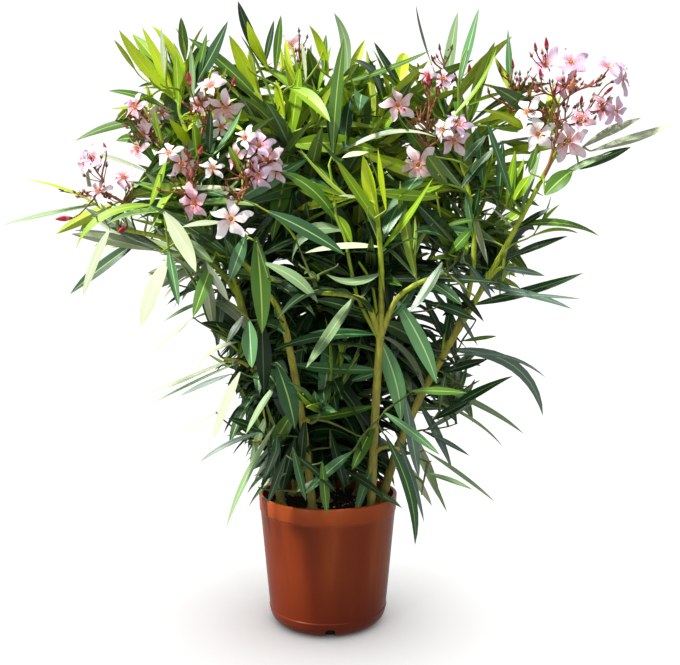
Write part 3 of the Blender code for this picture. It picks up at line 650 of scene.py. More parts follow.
def vein_relief(material, strength):
    """Fine side veins that leave the midrib at a slant. U runs along the leaf, V across it."""
    nodes = Nodes(material)
    along = nodes.math("MULTIPLY", nodes.part("UVMap", "UV", "X"), VEINS)
    across = nodes.math("ABSOLUTE", nodes.math("SUBTRACT", nodes.part("UVMap", "UV", "Y"), 0.5))
    phase = nodes.math("SUBTRACT", along, nodes.math("MULTIPLY", across, VEIN_SLANT))
    veins = nodes.bump(nodes.math("SINE", phase), strength, 0.00008)
    nodes.feed("Normal", nodes.bump(nodes.noise(160.0), strength * 1.4, 0.0005, veins))


def relief_material(name, colour, roughness, scale, strength, specular=0.4, height=0.0005):
    """One plain colour with a fine relief."""
    material = new_material(name, colour, roughness, specular)
    nodes = Nodes(material)
    nodes.feed("Normal", nodes.bump(nodes.noise(scale), strength, height))
    return material


def leaf_materials(family):
    upper, rib, under, roughness = LEAF_COLOURS[family]
    blade = new_material("leaf_" + family, upper, roughness, 0.42)
    vein_relief(blade, 0.22)
    midrib = relief_material("midrib_" + family, rib, 0.5, 400.0, 0.15, 0.35, 0.0003)
    back = new_material("underside_" + family, under, 0.62, 0.3)
    vein_relief(back, 0.3)
    return blade, midrib, back


def pot_material():
    """Glossy terracotta plastic: upright streaks of painted reflection, a paler band, a foot darkened with
    painted shade, scuffs and waves.
    """
    material = new_material("glossy_pot", (0.22, 0.035, 0.006), 0.2, 0.20)
    nodes = Nodes(material)
    # Upright streaks of lighter and darker colour: painted reflections of the glossy wall.
    reflection_streaks = nodes.noise(15.0, 3.0, (1.0, 1.0, 0.10))
    cloud = nodes.noise(16.0, 5.0)
    tone = nodes.ramp(reflection_streaks, ((0.32, (0.150, 0.018, 0.003)), (0.46, (0.195, 0.027, 0.004)),
                             (0.56, (0.225, 0.034, 0.006)), (0.68, (0.300, 0.060, 0.013))))
    tone = nodes.mix(nodes.math("MULTIPLY", cloud, 0.18), tone, (0.32, 0.075, 0.020))
    share = nodes.math("MULTIPLY", nodes.part("TexCoord", "Object", "Z"), 1.0 / POT_HEIGHT)
    band = nodes.ramp(share, ((0.86, 0.0), (0.88, 0.40), (1.0, 0.80)))
    tone = nodes.mix(band, tone, (0.460, 0.082, 0.014))
    # Darker towards the foot: painted shade.
    foot = nodes.ramp(share, ((0.0, 0.85), (0.16, 0.62), (0.50, 0.05)))
    nodes.feed("Base Color", nodes.mix(foot, tone, (0.120, 0.012, 0.002)))
    scuffs = nodes.noise(55.0, 6.0, (1.0, 1.0, 0.35))
    nodes.feed("Roughness", nodes.math("ADD", 0.10, nodes.math("MULTIPLY", scuffs, 0.20)))
    waves = nodes.bump(nodes.noise(9.0, 2.0, (1.0, 1.0, 0.25)), 0.45, 0.006)
    nodes.feed("Normal", nodes.bump(nodes.noise(420.0, 2.0), 0.05, 0.0004, waves))
    return material


def soil_material():
    material = new_material("compost", (0.02, 0.013, 0.009), 0.95, 0.15)
    nodes = Nodes(material)
    crumbs = nodes.noise(210.0, 6.0)
    tone = nodes.ramp(crumbs, ((0.30, (0.004, 0.003, 0.002)), (0.52, (0.018, 0.011, 0.007)),
                               (0.68, (0.050, 0.030, 0.017)), (0.80, (0.110, 0.070, 0.040))))
    nodes.feed("Base Color", tone)
    nodes.feed("Normal", nodes.bump(crumbs, 0.9, 0.004))
    return material


def bark_material():
    """Olive and brown low down, green higher up, with pale lenticels."""
    material = new_material("bark", (0.17, 0.19, 0.055), 0.6, 0.3)
    nodes = Nodes(material)
    patches = nodes.math("MULTIPLY", nodes.noise(38.0, 5.0, (1.0, 1.0, 0.5)), 0.10)
    height = nodes.math("ADD", nodes.part("TexCoord", "Object", "Z"), patches)
    tone = nodes.ramp(height, ((0.24, (0.270, 0.255, 0.055)), (0.38, (0.410, 0.375, 0.065)),
                               (0.56, (0.440, 0.430, 0.050)), (0.66, (0.420, 0.560, 0.030))))
    grain = nodes.noise(260.0, 5.0, (1.0, 1.0, 0.18))
    tone = nodes.mix(nodes.ramp(grain, ((0.35, 0.45), (0.58, 0.0))), tone, (0.110, 0.080, 0.030))
    specks = nodes.noise(700.0, 1.0)
    tone = nodes.mix(nodes.ramp(specks, ((0.68, 0.0), (0.74, 0.6))), tone, (0.42, 0.38, 0.22))
    nodes.feed("Base Color", tone)
    rough = nodes.bump(grain, 0.55, 0.0012)
    nodes.feed("Normal", nodes.bump(specks, 0.25, 0.0006, rough))
    return material


def petal_material(name, colour):
    """One plain colour with fine lines along the petal."""
    material = new_material(name, colour, 0.5, 0.25)
    nodes = Nodes(material)
    lines = nodes.math("SINE", nodes.math("MULTIPLY", nodes.part("UVMap", "UV", "Y"), 60.0))
    nodes.feed("Normal", nodes.bump(lines, 0.25, 0.0003))
    return material


# Meshes


def dress(piece, nodes=()):
    """Every piece of the plant rides on the one body."""
    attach(piece, "root")
    if nodes:
        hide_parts(*nodes)


class Sheets:
    """Gathers grids of points into one mesh. Each strip of a grid has its own material."""

    def __init__(self):
        self.points = []
        self.faces = []
        self.indices = []
        self.uvs = []
        self.count = 0

    def add(self, grid, strips, uv=None, closed=False):
        """grid is rows x columns x 3. strips gives the material of each column of faces."""
        rows, columns = grid.shape[:2]
        index = np.arange(rows * columns).reshape(rows, columns) + self.count
        right = np.roll(index, -1, axis=1) if closed else index[:, 1:]
        left = index if closed else index[:, :-1]
        quads = np.stack([left[:-1], left[1:], right[1:], right[:-1]], axis=-1)
        self.points.append(grid.reshape(-1, 3))
        self.faces.append(quads.reshape(-1, 4))
        strips = np.broadcast_to(strips, quads.shape[:2])
        self.indices.append(strips.ravel())
        if uv is None:
            across, along = np.meshgrid(np.linspace(0, 1, columns), np.linspace(0, 1, rows))
            uv = np.stack([along, across], axis=-1)
        flat = uv.reshape(-1, 2)
        self.uvs.append(flat[quads.reshape(-1) - self.count])
        self.count += rows * columns

    def put(self, name, materials):
        mesh = bpy.data.meshes.new(name)
        mesh.from_pydata(np.concatenate(self.points), [], np.concatenate(self.faces))
        for material in materials:
            mesh.materials.append(material)
        mesh.polygons.foreach_set("material_index", np.concatenate(self.indices).astype(np.int32))
        layer = mesh.uv_layers.new(name="UVMap")
        layer.data.foreach_set("uv", np.concatenate(self.uvs).astype(np.float32).ravel())
        mesh.shade_smooth()
        mesh.update()
        return add_object(name, mesh)


def path_frames(path):
    """The direction and two square unit vectors at each point, carried along without twist."""
    tangents = np.gradient(path, axis=0)
    tangents /= np.linalg.norm(tangents, axis=1)[:, None]
    side = np.array(any_side(Vector(tangents[0])))
    sides = []
    for tangent in tangents:
        side = side - tangent * side.dot(tangent)
        side = side / np.linalg.norm(side)
        sides.append(side)
    sides = np.array(sides)
    return tangents, sides, np.cross(tangents, sides)


def tube_grid(path, radii, sides, relief=None):
    """Rings of points round a path. relief adds to the radius at each (point, side)."""
    path = np.asarray(path, float)
    _, first, second = path_frames(path)
    turn = np.arange(sides) * math.tau / sides
    radius = np.asarray(radii, float)[:, None] * np.ones(sides)
    if relief is not None:
        radius = radius + relief
    ring = (first[:, None] * np.cos(turn)[None, :, None]
            + second[:, None] * np.sin(turn)[None, :, None])
    return path[:, None] + ring * radius[..., None]


# How far a path runs on along its two headings, as shares of its reach: always, and more or less
# by how well the heading points along the path.
PULL = 0.55
PULL_AHEAD = 0.45
LEAST_AHEAD = -0.6


def add_tube(sheets, path, first, last, sides, material=0):
    """A tube that tapers from one radius to another and closes to a blunt point at its end."""
    radii = [first + (last - first) * i / (len(path) - 1) for i in range(len(path))]
    path = [Vector(point) for point in path]
    path.append(path[-1] + (path[-1] - path[-2]).normalized() * radii[-1] * 0.8)
    sheets.add(tube_grid(path, [*radii, radii[-1] * 0.05], sides), material, closed=True)


def hermite(start, heading, end, arrival, count):
    """A smooth path that leaves start along heading and comes to end along arrival."""
    reach = (end - start).length
    chord = (end - start).normalized()

    def pull(way):
        way = way.normalized()
        return way * reach * (PULL + PULL_AHEAD * max(LEAST_AHEAD, way.dot(chord)))

    first, last = pull(heading), pull(arrival)
    path = []
    for i in range(count):
        t = i / (count - 1)
        path.append(start * (2 * t**3 - 3 * t**2 + 1) + first * (t**3 - 2 * t**2 + t)
                    + end * (3 * t**2 - 2 * t**3) + last * (t**3 - t**2))
    return path


# Pot and soil


def wall_radius(height):
    share = height / (POT_HEIGHT - BAND_HEIGHT)
    return WALL_FOOT_RADIUS + (WALL_TOP_RADIUS - WALL_FOOT_RADIUS) * share


def arc(middle, radius, start, stop, count):
    """Points of (radius, height) on an arc, with its angles in degrees."""
    points = []
    for i in range(count + 1):
        angle = math.radians(start + (stop - start) * i / count)
        points.append((middle[0] + radius * math.cos(angle), middle[1] + radius * math.sin(angle)))
    return points


def pot_profile():
    """From the middle of the pot's floor up the inside, over the rim and down the outside."""
    inner = FOOT_ROUND - WALL
    middle = wall_radius(FOOT_ROUND) - FOOT_ROUND
    band_foot = POT_HEIGHT - BAND_HEIGHT
    rim_inside = RIM_RADIUS - RIM_WIDTH
    band_radius = RIM_RADIUS - BAND_TAPER
    top = POT_HEIGHT - RIM_ROUND
    profile = [(0.0, WALL)]
    profile += arc((middle, WALL + inner), inner, -90, 0, 6)
    profile += [(rim_inside, POT_HEIGHT - LIP_HEIGHT)]
    profile += arc((rim_inside + RIM_ROUND, top), RIM_ROUND, 180, 90, 5)
    profile += arc((RIM_RADIUS - RIM_ROUND, top), RIM_ROUND, 90, 0, 5)
    profile += arc((band_radius - RIM_ROUND, band_foot + RIM_ROUND), RIM_ROUND, 0, -80, 5)
    profile += [(wall_radius(band_foot) + 0.0004, band_foot - 0.0003),
                (wall_radius(band_foot) + 0.0001, band_foot - 0.0015)]
    profile += [(wall_radius(band_foot * share / 8), band_foot * share / 8) for share in range(7, 1, -1)]
    step = wall_radius(FOOT_STEP_HEIGHT) + FOOT_STEP
    profile += [(wall_radius(FOOT_STEP_HEIGHT), FOOT_STEP_HEIGHT + 2.2 * FOOT_STEP),
                (step, FOOT_STEP_HEIGHT + FOOT_STEP), (step, FOOT_STEP_HEIGHT)]
    profile += arc((middle, FOOT_ROUND), FOOT_ROUND, -4, -90, 9)
    return profile + [(0.0, 0.0)]


def make_pot():
    profile = pot_profile()
    mesh = bpy.data.meshes.new("pot_shell")
    mesh.from_pydata([(radius, 0.0, height) for radius, height in profile],
                     [(i, i + 1) for i in range(len(profile) - 1)], [])
    pot = add_object("pot_shell", mesh)
    screw = pot.modifiers.new("turn", "SCREW")
    screw.steps = POT_STEPS
    screw.render_steps = POT_STEPS
    screw.use_merge_vertices = True
    screw.merge_threshold = 0.00002
    screw.use_smooth_shade = True
    slots = bmesh.new()
    for i in range(SLOT_COUNT):
        angle = math.radians(SLOT_TURN - 90.0 + 360.0 * i / SLOT_COUNT)
        place = Matrix.Rotation(angle, 4, "Z") @ Matrix.Translation((WALL_FOOT_RADIUS, 0, 0))
        size = Matrix.Diagonal((SLOT_LENGTH, SLOT_WIDTH, 2 * SLOT_HEIGHT, 1))
        bmesh.ops.create_cube(slots, size=1.0, matrix=place @ size)
    level = [edge for edge in slots.edges if abs(edge.verts[0].co.z - edge.verts[1].co.z) < 1e-6
             and edge.verts[0].co.z > 0]
    bmesh.ops.bevel(slots, geom=level, offset=SLOT_ROUND, segments=3, affect="EDGES")
    cutter = put_bmesh("slots", slots)
    cut = pot.modifiers.new("cut", "BOOLEAN")
    cut.object = cutter
    graph = bpy.context.evaluated_depsgraph_get()
    shell = bpy.data.meshes.new_from_object(pot.evaluated_get(graph))
    pot.modifiers.clear()
    pot.data = shell
    bpy.data.objects.remove(cutter, do_unlink=True)
    shell.materials.clear()
    shell.materials.append(pot_material())
    shell.shade_smooth()
    shell.set_sharp_from_angle(angle=math.radians(34))
    dress(pot, ["pot"])


def make_soil():
    """Compost with a lumpy top, in the space that the CAD soil fills."""
    low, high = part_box("soil")
    corners = np.array([vert.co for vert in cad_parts["soil"].data.vertices])
    foot = np.abs(corners[corners[:, 2] < low.z + 0.001][:, :2]).max()
    top = high.x
    side = ((top - 0.001, high.z - 0.012), (foot + 0.012, low.z + 0.02), (foot, low.z))
    grid = np.zeros((SOIL_RINGS + len(side), SOIL_SIDES, 3))
    for i in range(SOIL_RINGS):
        radius = top * (0.02 + 0.98 * i / (SOIL_RINGS - 1))
        for j in range(SOIL_SIDES):
            angle = math.tau * j / SOIL_SIDES
            x, y = radius * math.cos(angle), radius * math.sin(angle)
            lump = SOIL_LUMP * noise.fractal(Vector((x, y, 0.3)) * 60.0, 1.0, 2.0, 5)
            clod = SOIL_CLOD * noise.noise(Vector((x, y, 1.7)) * 22.0)
            edge = min(1.0, (top - radius) / SOIL_EDGE)
            z = high.z - SOIL_SINK + (lump + clod) * (0.35 + 0.65 * edge) - SOIL_SINK * (1 - edge)
            grid[i, j] = (x, y, z)
    ring = grid[SOIL_RINGS - 1].copy()
    for i, (radius, z) in enumerate(side):
        scale = radius / top
        grid[SOIL_RINGS + i] = ring * (scale, scale, 0.0) + (0.0, 0.0, z)
    sheets = Sheets()
    sheets.add(grid[::-1], 0, closed=True)
    soil = sheets.put("compost", [soil_material()])
    dress(soil, ["soil"])
    for row in SOIL_BITS:
        make_bits(*row, top, high.z)


def make_bits(name, count, colour, sizes, reach, height):
    """Small uneven grains that lie on the soil."""
    bits = bmesh.new()
    for _ in range(count):
        angle = rng.uniform(0, math.tau)
        radius = (reach - 0.006) * math.sqrt(rng.random())
        place = Vector((radius * math.cos(angle), radius * math.sin(angle), height - 0.0008))
        made = bmesh.ops.create_icosphere(bits, subdivisions=1, radius=rng.uniform(*sizes))["verts"]
        shape = Matrix.Diagonal((rng.uniform(0.6, 1.5), rng.uniform(0.5, 1.0), rng.uniform(0.35, 0.8)))
        turn = Quaternion(Vector((jitter(1), jitter(1), jitter(1))).normalized(), jitter(0.7))
        for vert in made:
            push = 1.0 + 0.3 * noise.noise(vert.co * 900.0 + place * 50.0)
            vert.co = place + turn @ (shape @ (vert.co * push))
    piece = put_bmesh(name, bits)
    piece.data.materials.append(relief_material(name, colour, 0.85, 900.0, 0.4, 0.2))
    dress(piece)


# Limbs


def welded(name):
    """A node's corners, each place once, and for each the corners of the faces round it."""
    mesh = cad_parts[name].data
    places = {}
    index = [places.setdefault(tuple(round(v, 5) for v in vert.co), len(places)) for vert in mesh.vertices]
    near = [set() for _ in places]
    for polygon in mesh.polygons:
        corners = [index[i] for i in polygon.vertices]
        for corner in corners:
            near[corner].update(corners)
    return [Vector(key) for key in places], near


class LimbLine:
    """The middle line and radius of a stem or bough, read from its solid in the frame."""

    def __init__(self, name, sides):
        self.name = name
        points, near = welded(name)
        # Whole rings of corners follow one another from the far end down.
        far = max(range(len(points)), key=lambda i: (points[i] - POT_MIDDLE).length)
        order = sorted(range(len(points)), key=lambda i: (points[i] - points[far]).length)
        level = set(order[:sides])
        seen = set(level)
        rings = []
        while len(level) == sides:
            middle = sum((points[i] for i in level), Vector()) / sides
            rings.append((middle, sum((points[i] - middle).length for i in level) / sides))
            level = set().union(*(near[i] for i in level)) - seen
            seen |= level
        self.rings = rings[::-1]
        rest = [points[i] for i in range(len(points)) if i not in seen] + [points[i] for i in level]
        ends = rest or [self.rings[0][0]]
        self.root = min(ends, key=lambda p: (p - POT_MIDDLE).length)

    def join(self, parents):
        """Adds a start on the nearest parent's middle line."""
        spots = [spot for parent in parents for spot in parent.fine]
        spot = min(spots, key=lambda s: (s[0] - self.root).length)
        self.rings.insert(0, (spot[0], min(spot[1], self.rings[0][1] * FOOT_WIDER)))
        self.smooth()

    def smooth(self):
        """Points every BARK_STEP along a curve through the rings."""
        rings = self.rings
        self.fine = []
        for i in range(len(rings) - 1):
            before, after = rings[max(i - 1, 0)][0], rings[min(i + 2, len(rings) - 1)][0]
            (start, r0), (end, r1) = rings[i], rings[i + 1]
            count = max(2, round((end - start).length / BARK_STEP))
            for j in range(count):
                t = j / count
                place = 0.5 * (2 * start + (end - before) * t
                               + (2 * before - 5 * start + 4 * end - after) * t**2
                               + (3 * start - before - 3 * end + after) * t**3)
                self.fine.append((place, r0 + (r1 - r0) * t))
        self.fine.append(rings[-1])

    def end(self):
        (before, _), (last, radius) = self.fine[-6], self.fine[-1]
        return last, (last - before).normalized(), radius


def bark_relief(line, sides, phase):
    """Ridges, swellings at the whorls and three leaf scars at each."""
    relief = np.zeros((len(line), sides))
    along = 0.0
    for i, (place, radius) in enumerate(line):
        if i:
            along += (place - line[i - 1][0]).length
        whorl = round(along / SCAR_SPACING)
        off = along - whorl * SCAR_SPACING
        swell = WHORL_RISE * radius * math.exp(-((off / WHORL_SPREAD) ** 2))
        for j in range(sides):
            turn = math.tau * j / sides
            grain = noise.noise(Vector((math.cos(turn) * 2.2, math.sin(turn) * 2.2, along * 45.0 + phase)))
            relief[i, j] = GRAIN_RISE * radius * grain + swell
            for k in range(3):
                scar = turn - math.tau * k / 3 - whorl * math.pi / 3 - phase
                gap = (scar + math.pi) % math.tau - math.pi
                bump = math.exp(-((gap / SCAR_TURN) ** 2) - ((off + SCAR_BELOW) / SCAR_LENGTH) ** 2)
                relief[i, j] += SCAR_RISE * radius * bump
    return relief


def make_bark(name, lines, sides):
    sheets = Sheets()
    for number, line in enumerate(lines):
        path, radii = zip(*line.fine)
        relief = bark_relief(line.fine, sides, number * 1.7)
        sheets.add(tube_grid(path, radii, sides, relief), 0, closed=True)
    piece = sheets.put(name, [bark_material()])
    dress(piece, [line.name for line in lines])


# Leaves


class Leaf:
    """A leaf: where it starts, its heading, the side vector of its blade and how it bends."""

    def __init__(self, family, base, heading, face, bend, length, width, fold, twist, curl):
        self.family, self.base = family, base
        self.heading = heading.normalized()
        side = self.heading.cross(face)
        self.side = side.normalized() if side.length > 1e-4 else any_side(self.heading)
        self.bend, self.length, self.width = bend, length, width
        self.fold, self.twist, self.curl = fold, twist, curl

    def spine(self, count=6):
        place = self.base.copy()
        points = [place.copy()]
        for i in range(count):
            t = (i + 0.5) / count
            place = place + (self.heading + self.bend * t**1.4).normalized() * (self.length / count)
            points.append(place)
        return points

    def reach_to(self, tip):
        """Turns and scales the leaf so that its tip lies at the place given."""
        end = self.spine(LEAF_STEPS)[-1]
        now, wanted = end - self.base, tip - self.base
        turn = now.rotation_difference(wanted)
        self.heading = turn @ self.heading
        self.side = turn @ self.side
        self.bend = turn @ self.bend
        self.length *= wanted.length / now.length


def blade_width(t):
    """Half width along a leaf, as a share of the widest: a stalk, a long lance and a sharp tip."""
    lance = np.sin(np.pi * t**0.95) ** 0.80
    stalk = 0.10 * np.clip(1.0 - t / 0.10, 0.0, 1.0) + 0.05 * (1 - t)
    return np.maximum(lance, stalk) + 0.012


def leaf_grid(leaves, columns):
    """Points of many leaves at once: leaf x step x column x 3."""
    steps = LEAF_STEPS
    t = np.linspace(0.0, 1.0, steps + 1)
    half = (np.arange(steps) + 0.5) / steps
    heading, bend, base, side, length, width, fold, twist, curl = (
        np.array([getattr(leaf, name) for leaf in leaves])
        for name in ("heading", "bend", "base", "side", "length", "width", "fold", "twist", "curl"))

    def directions(share):
        found = heading[:, None] + bend[:, None] * (share**1.4)[None, :, None]
        return found / np.linalg.norm(found, axis=2)[..., None]

    moves = directions(half) * (length / steps)[:, None, None]
    moved = np.concatenate([np.zeros_like(moves[:, :1]), np.cumsum(moves, axis=1)], axis=1)
    spine = base[:, None] + moved
    along = directions(t)
    across = side[:, None] - along * (along * side[:, None]).sum(-1, keepdims=True)
    across /= np.linalg.norm(across, axis=2)[..., None]
    normal = np.cross(across, along)
    turn = (twist[:, None] * t[None])[..., None]
    across, normal = (across * np.cos(turn) + normal * np.sin(turn),
                      normal * np.cos(turn) - across * np.sin(turn))
    half_width = 0.5 * width[:, None] * blade_width(t)[None]
    place = np.zeros((len(leaves), steps + 1, len(columns), 3))
    uv = np.zeros((len(leaves), steps + 1, len(columns), 2))
    for k, (share, drop) in enumerate(columns):
        size = abs(share)
        out = half_width * share * np.cos(fold * size)[:, None]
        rise = half_width * (size * np.sin(fold)[:, None] - curl[:, None] * size**2)
        ripple = np.sin(9.0 * t[None] + 40.0 * length[:, None] + share) * 0.055 * size
        rise = rise + half_width * ripple - drop * (0.35 + 0.65 * (1 - t))[None]
        place[:, :, k] = spine + across * out[..., None] + normal * rise[..., None]
        uv[:, :, k, 0] = (length[:, None] * t[None]) * 2.5
        uv[:, :, k, 1] = 0.5 + 0.5 * share
    return place, uv


RIB = 0.075
# The columns of a leaf's upper and lower side: how far out each is, and how far below the blade.
UPPER_COLUMNS = ((1.0, 0.0), (0.55, 0.0), (RIB, 0.0), (-RIB, 0.0), (-0.55, 0.0), (-1.0, 0.0))
LOWER_COLUMNS = ((-1.0, 0.00005), (-RIB * 1.4, 0.0004), (0.0, 0.0012), (RIB * 1.4, 0.0004), (1.0, 0.00005))


def make_leaves(leaves, masses):
    """The leaves of each family, joined into pieces. The first piece stands for all the masses."""
    families = {}
    for leaf in leaves:
        families.setdefault(leaf.family, []).append(leaf)
    for family, members in sorted(families.items()):
        materials = list(leaf_materials(family))
        for start in range(0, len(members), LEAVES_IN_PIECE):
            part = members[start : start + LEAVES_IN_PIECE]
            sheets = Sheets()
            for columns, strips in ((UPPER_COLUMNS, (0, 0, 1, 0, 0)), (LOWER_COLUMNS, (2, 1, 1, 2))):
                for place, uv in zip(*leaf_grid(part, columns)):
                    sheets.add(place, strips, uv)
            number = start // LEAVES_IN_PIECE + 1
            piece = sheets.put(f"leaves_{family}_{number}", materials)
            dress(piece, masses)
            masses = ()


# Growth


def near_pot(place):
    """Whether a place is too near to the pot's wall or to the soil."""
    radius = math.hypot(place.x, place.y)
    return (place.z < POT_CLEAR_HEIGHT and radius < POT_CLEAR_RADIUS
            and (radius > WALL_CLEAR_RADIUS or place.z < SOIL_CLEAR_HEIGHT))


class Crown:
    """The space that the masses fill, and what grows in it."""

    def __init__(self, masses):
        self.trees = {}
        points, faces = [], []
        for name in masses:
            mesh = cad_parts[name].data
            co = [vert.co.copy() for vert in mesh.vertices]
            polygons = [tuple(polygon.vertices) for polygon in mesh.polygons]
            self.trees[name] = BVHTree.FromPolygons(co, polygons)
            faces += [tuple(i + len(points) for i in polygon) for polygon in polygons]
            points += co
        self.tree = BVHTree.FromPolygons(points, faces)
        self.low = [value - BOX_ALLOWED for value in cad_box[0]]
        self.high = [value + BOX_ALLOWED for value in cad_box[1]]
        self.leaves = []
        self.twigs = Sheets()
        self.spots = []
        self.shoots = []
        self.clear_lines = []

    def keep_clear(self, place, way, width):
        """No leaf of no set place grows within width of the line from place along way."""
        self.clear_lines.append((place, way, width))

    def close_list(self):
        """Turns the lines that stay clear into arrays, when all are known."""
        self.clear_places, self.clear_ways, self.clear_widths = map(np.array, zip(*self.clear_lines))

    def in_the_way(self, points):
        """Whether any of the points lies in a line that stays clear."""
        reach = np.array(points)[:, None] - self.clear_places[None]
        along = (reach * self.clear_ways[None]).sum(-1)
        off = np.linalg.norm(reach - self.clear_ways[None] * along[..., None], axis=-1)
        return bool(((along > CLEAR_START) & (along < CLEAR_REACH) & (off < self.clear_widths)).any())

    @staticmethod
    def depth(tree, place):
        """How far inside the mass the place is, or outside it if negative."""
        spot, normal, _, distance = tree.find_nearest(place)
        return -distance if (place - spot).dot(normal) > 0 else distance

    def fits(self, leaf):
        """A leaf stays in the crown and off the pot."""
        points = leaf.spine()
        if not in_outline(points[-1], 0.0) and rng.random() > OUTLINE_KEPT:
            return False
        if not in_outline(points[-1], -OUTLINE_PASS):
            return False
        if any(not self.low[i] < place[i] < self.high[i] for place in points for i in range(3)):
            return False
        for place in (points[3], points[-1]):
            loose = LOOSE_LOW < place.z < LOOSE_HIGH and place.y > LOOSE_BACK
            allowed = OUTSIDE_ALLOWED * (1.0 if loose else TIGHT_SHARE)
            if core_share(place) > 1.0 and self.depth(self.tree, place) < -allowed:
                return False
        return not any(near_pot(place) for place in points)

    def try_leaf(self, leaf):
        """Keeps the leaf if it fits, a little shorter or turned a little if need be, or drops it."""
        for _ in range(LEAF_TRIES):
            if not self.fits(leaf):
                leaf.length *= SHORTER
                leaf.width *= NARROWER
                leaf.bend = leaf.bend * 1.1 + Vector((0, 0, -0.1))
            elif self.in_the_way(leaf.spine()):
                turn = Quaternion(any_side(leaf.heading), jitter(0.6))
                leaf.heading = turn @ leaf.heading
                leaf.side = turn @ leaf.side
            else:
                self.leaves.append(leaf)
                return


def mesh_volume(mesh):
    """The volume of a closed mesh."""
    total = 0.0
    mesh.calc_loop_triangles()
    for triangle in mesh.loop_triangles:
        a, b, c = (mesh.vertices[i].co for i in triangle.vertices)
        total += a.dot(b.cross(c)) / 6.0
    return abs(total)


def peaks_of(name):
    """The middle of a mass and its tips: corners that stand out from all that they are joined to."""
    points, near = welded(name)
    middle = sum(points, Vector()) / len(points)
    reach = [(point - middle).length for point in points]
    typical = sorted(reach)[len(reach) // 2]
    peaks = [point for point, far, joined in zip(points, reach, near)
             if far > PEAK_REACH * typical and all(far >= reach[k] for k in joined)]
    return middle, peaks


def tone_of(place):
    """The families that a region's young leaves and grown leaves are dealt from."""
    x, z = place.x, place.z
    if z > 0.80:
        return ("lime", "lime", "fresh", "fresh"), ("fresh", "mid", "mid", "leek", "lime", "dark")
    if z < 0.56 and x > 0.10:
        return ("leek", "dark", "grey"), ("leek", "grey", "dark", "grey", "sage", "deep")
    # On the left, low down and far out, many leaves are dealt pale ones: painted sunlight.
    if z < 0.66 and x < -0.16:
        return ("pale", "fresh", "sage", "pale"), ("pale", "sage", "pale", "grey", "leek", "pale")
    if x < -0.24:
        return ("lime", "pale", "fresh", "pale"), ("sage", "mid", "pale", "leek", "fresh")
    if z < 0.66:
        return ("mid", "leek", "fresh"), ("dark", "deep", "leek", "deep", "dark")
    return ("lime", "fresh", "fresh"), ("mid", "fresh", "leek", "mid", "dark")


def upright(height, low, span):
    """From 0 at or under the height low to 1 at a span over it: low growth droops."""
    return max(0.0, min(1.0, (height - low) / span))


def core_share(place):
    """How far out a place lies in the crown's close-grown middle: under 1 is inside it."""
    heights, radii = zip(*CORE_RADII)
    radius = float(np.interp(place.z, heights, radii, left=0.01, right=0.01))
    return math.hypot(place.x / radius, (place.y - CORE_BACK) / (radius * CORE_DEPTH))


def out_from_axis(place):
    """The level way out from the plant's axis, or any level way near it."""
    out = Vector((place.x, place.y, 0.0))
    if out.length < 0.02:
        return Vector((jitter(1), jitter(1), 0)).normalized()
    return out.normalized()


def add_whorl(crown, place, axis, turn, length, angle, droop, age, shade=()):
    """Three leaves round a shoot. Their upper sides face its tip."""
    young, grown = tone_of(place)
    # shade, if given, holds dark families that replace the grown ones: painted shade.
    grown = shade or grown
    for k in range(3):
        around = turn + math.tau * k / 3 + jitter(0.30)
        side = Quaternion(axis, around) @ any_side(axis)
        lean = math.radians(angle + jitter(9))
        heading = axis * math.cos(lean) + side * math.sin(lean)
        face = axis * math.sin(lean) - side * math.cos(lean)
        size = length * rng.uniform(*LENGTH_SPREAD)
        bend = Vector((0, 0, -droop * rng.uniform(*DROOP_SPREAD))) + side * (0.10 + 0.35 * rng.random())
        is_young = age < YOUNG_WHORLS
        family = rng.choice(young if is_young else grown)
        fold = math.radians(rng.uniform(*(YOUNG_FOLD if is_young else GROWN_FOLD)))
        width = size * LEAF_ASPECT * rng.uniform(*WIDTH_SPREAD)
        crown.try_leaf(Leaf(family, place, heading, face, bend, size, width, fold, jitter(0.5),
                            rng.uniform(0.02, 0.20)))


def leafy(crown, path, leafy_length, first_whorl):
    """Whorls along a shoot, from its tip down."""
    lengths = [0.0]
    back = path[::-1]
    for a, b in zip(back, back[1:]):
        lengths.append(lengths[-1] + (b - a).length)
    turn = rng.uniform(0, math.tau)
    for age, (distance, length, angle, droop) in enumerate(WHORLS):
        if age < first_whorl:
            continue
        if distance > min(leafy_length, lengths[-1]):
            break
        i = max(k for k in range(len(lengths)) if lengths[k] <= distance)
        i = min(i, len(back) - 2)
        share = (distance - lengths[i]) / max(lengths[i + 1] - lengths[i], 1e-6)
        place = back[i].lerp(back[i + 1], min(share, 1.0))
        axis = (back[i] - back[i + 1]).normalized()
        turn += math.pi / 3 + jitter(0.2)
        add_whorl(crown, place, axis, turn, length, angle, droop, age)


def middle_of(things):
    """The middle of the places of some tips or blooms."""
    return sum((thing.place for thing in things), Vector()) / len(things)


class Tip:
    """Where a shoot ends and the way that it points. Its last leaf can reach the tip of its mass
    (peak), and it can carry flowers and buds (head)."""

    def __init__(self, place, heading, peak=None, head=None):
        self.place, self.heading = place, heading
        self.peak, self.head = peak, head


def add_twig(crown, path, first, last, sides, green=False):
    """A tapering twig. It is green high up and a darker olive low down, partly older wood and partly painted
    shade. Other twigs can leave it.
    """
    add_tube(crown.twigs, path, first, last, sides, 0 if green or path[0].z > GREEN_WOOD else 1)
    crown.spots += path


def grow_shoot(crown, start, heading, radius, tip):
    """A twig that ends at the tip. Its leaves come later."""
    reach = (tip.place - start).length
    path = hermite(start, heading, tip.place, tip.heading, max(6, int(reach / SHOOT_STEP)))
    add_twig(crown, path, radius, SHOOT_END_RADIUS, 6)
    crown.shoots.append((path, tip))


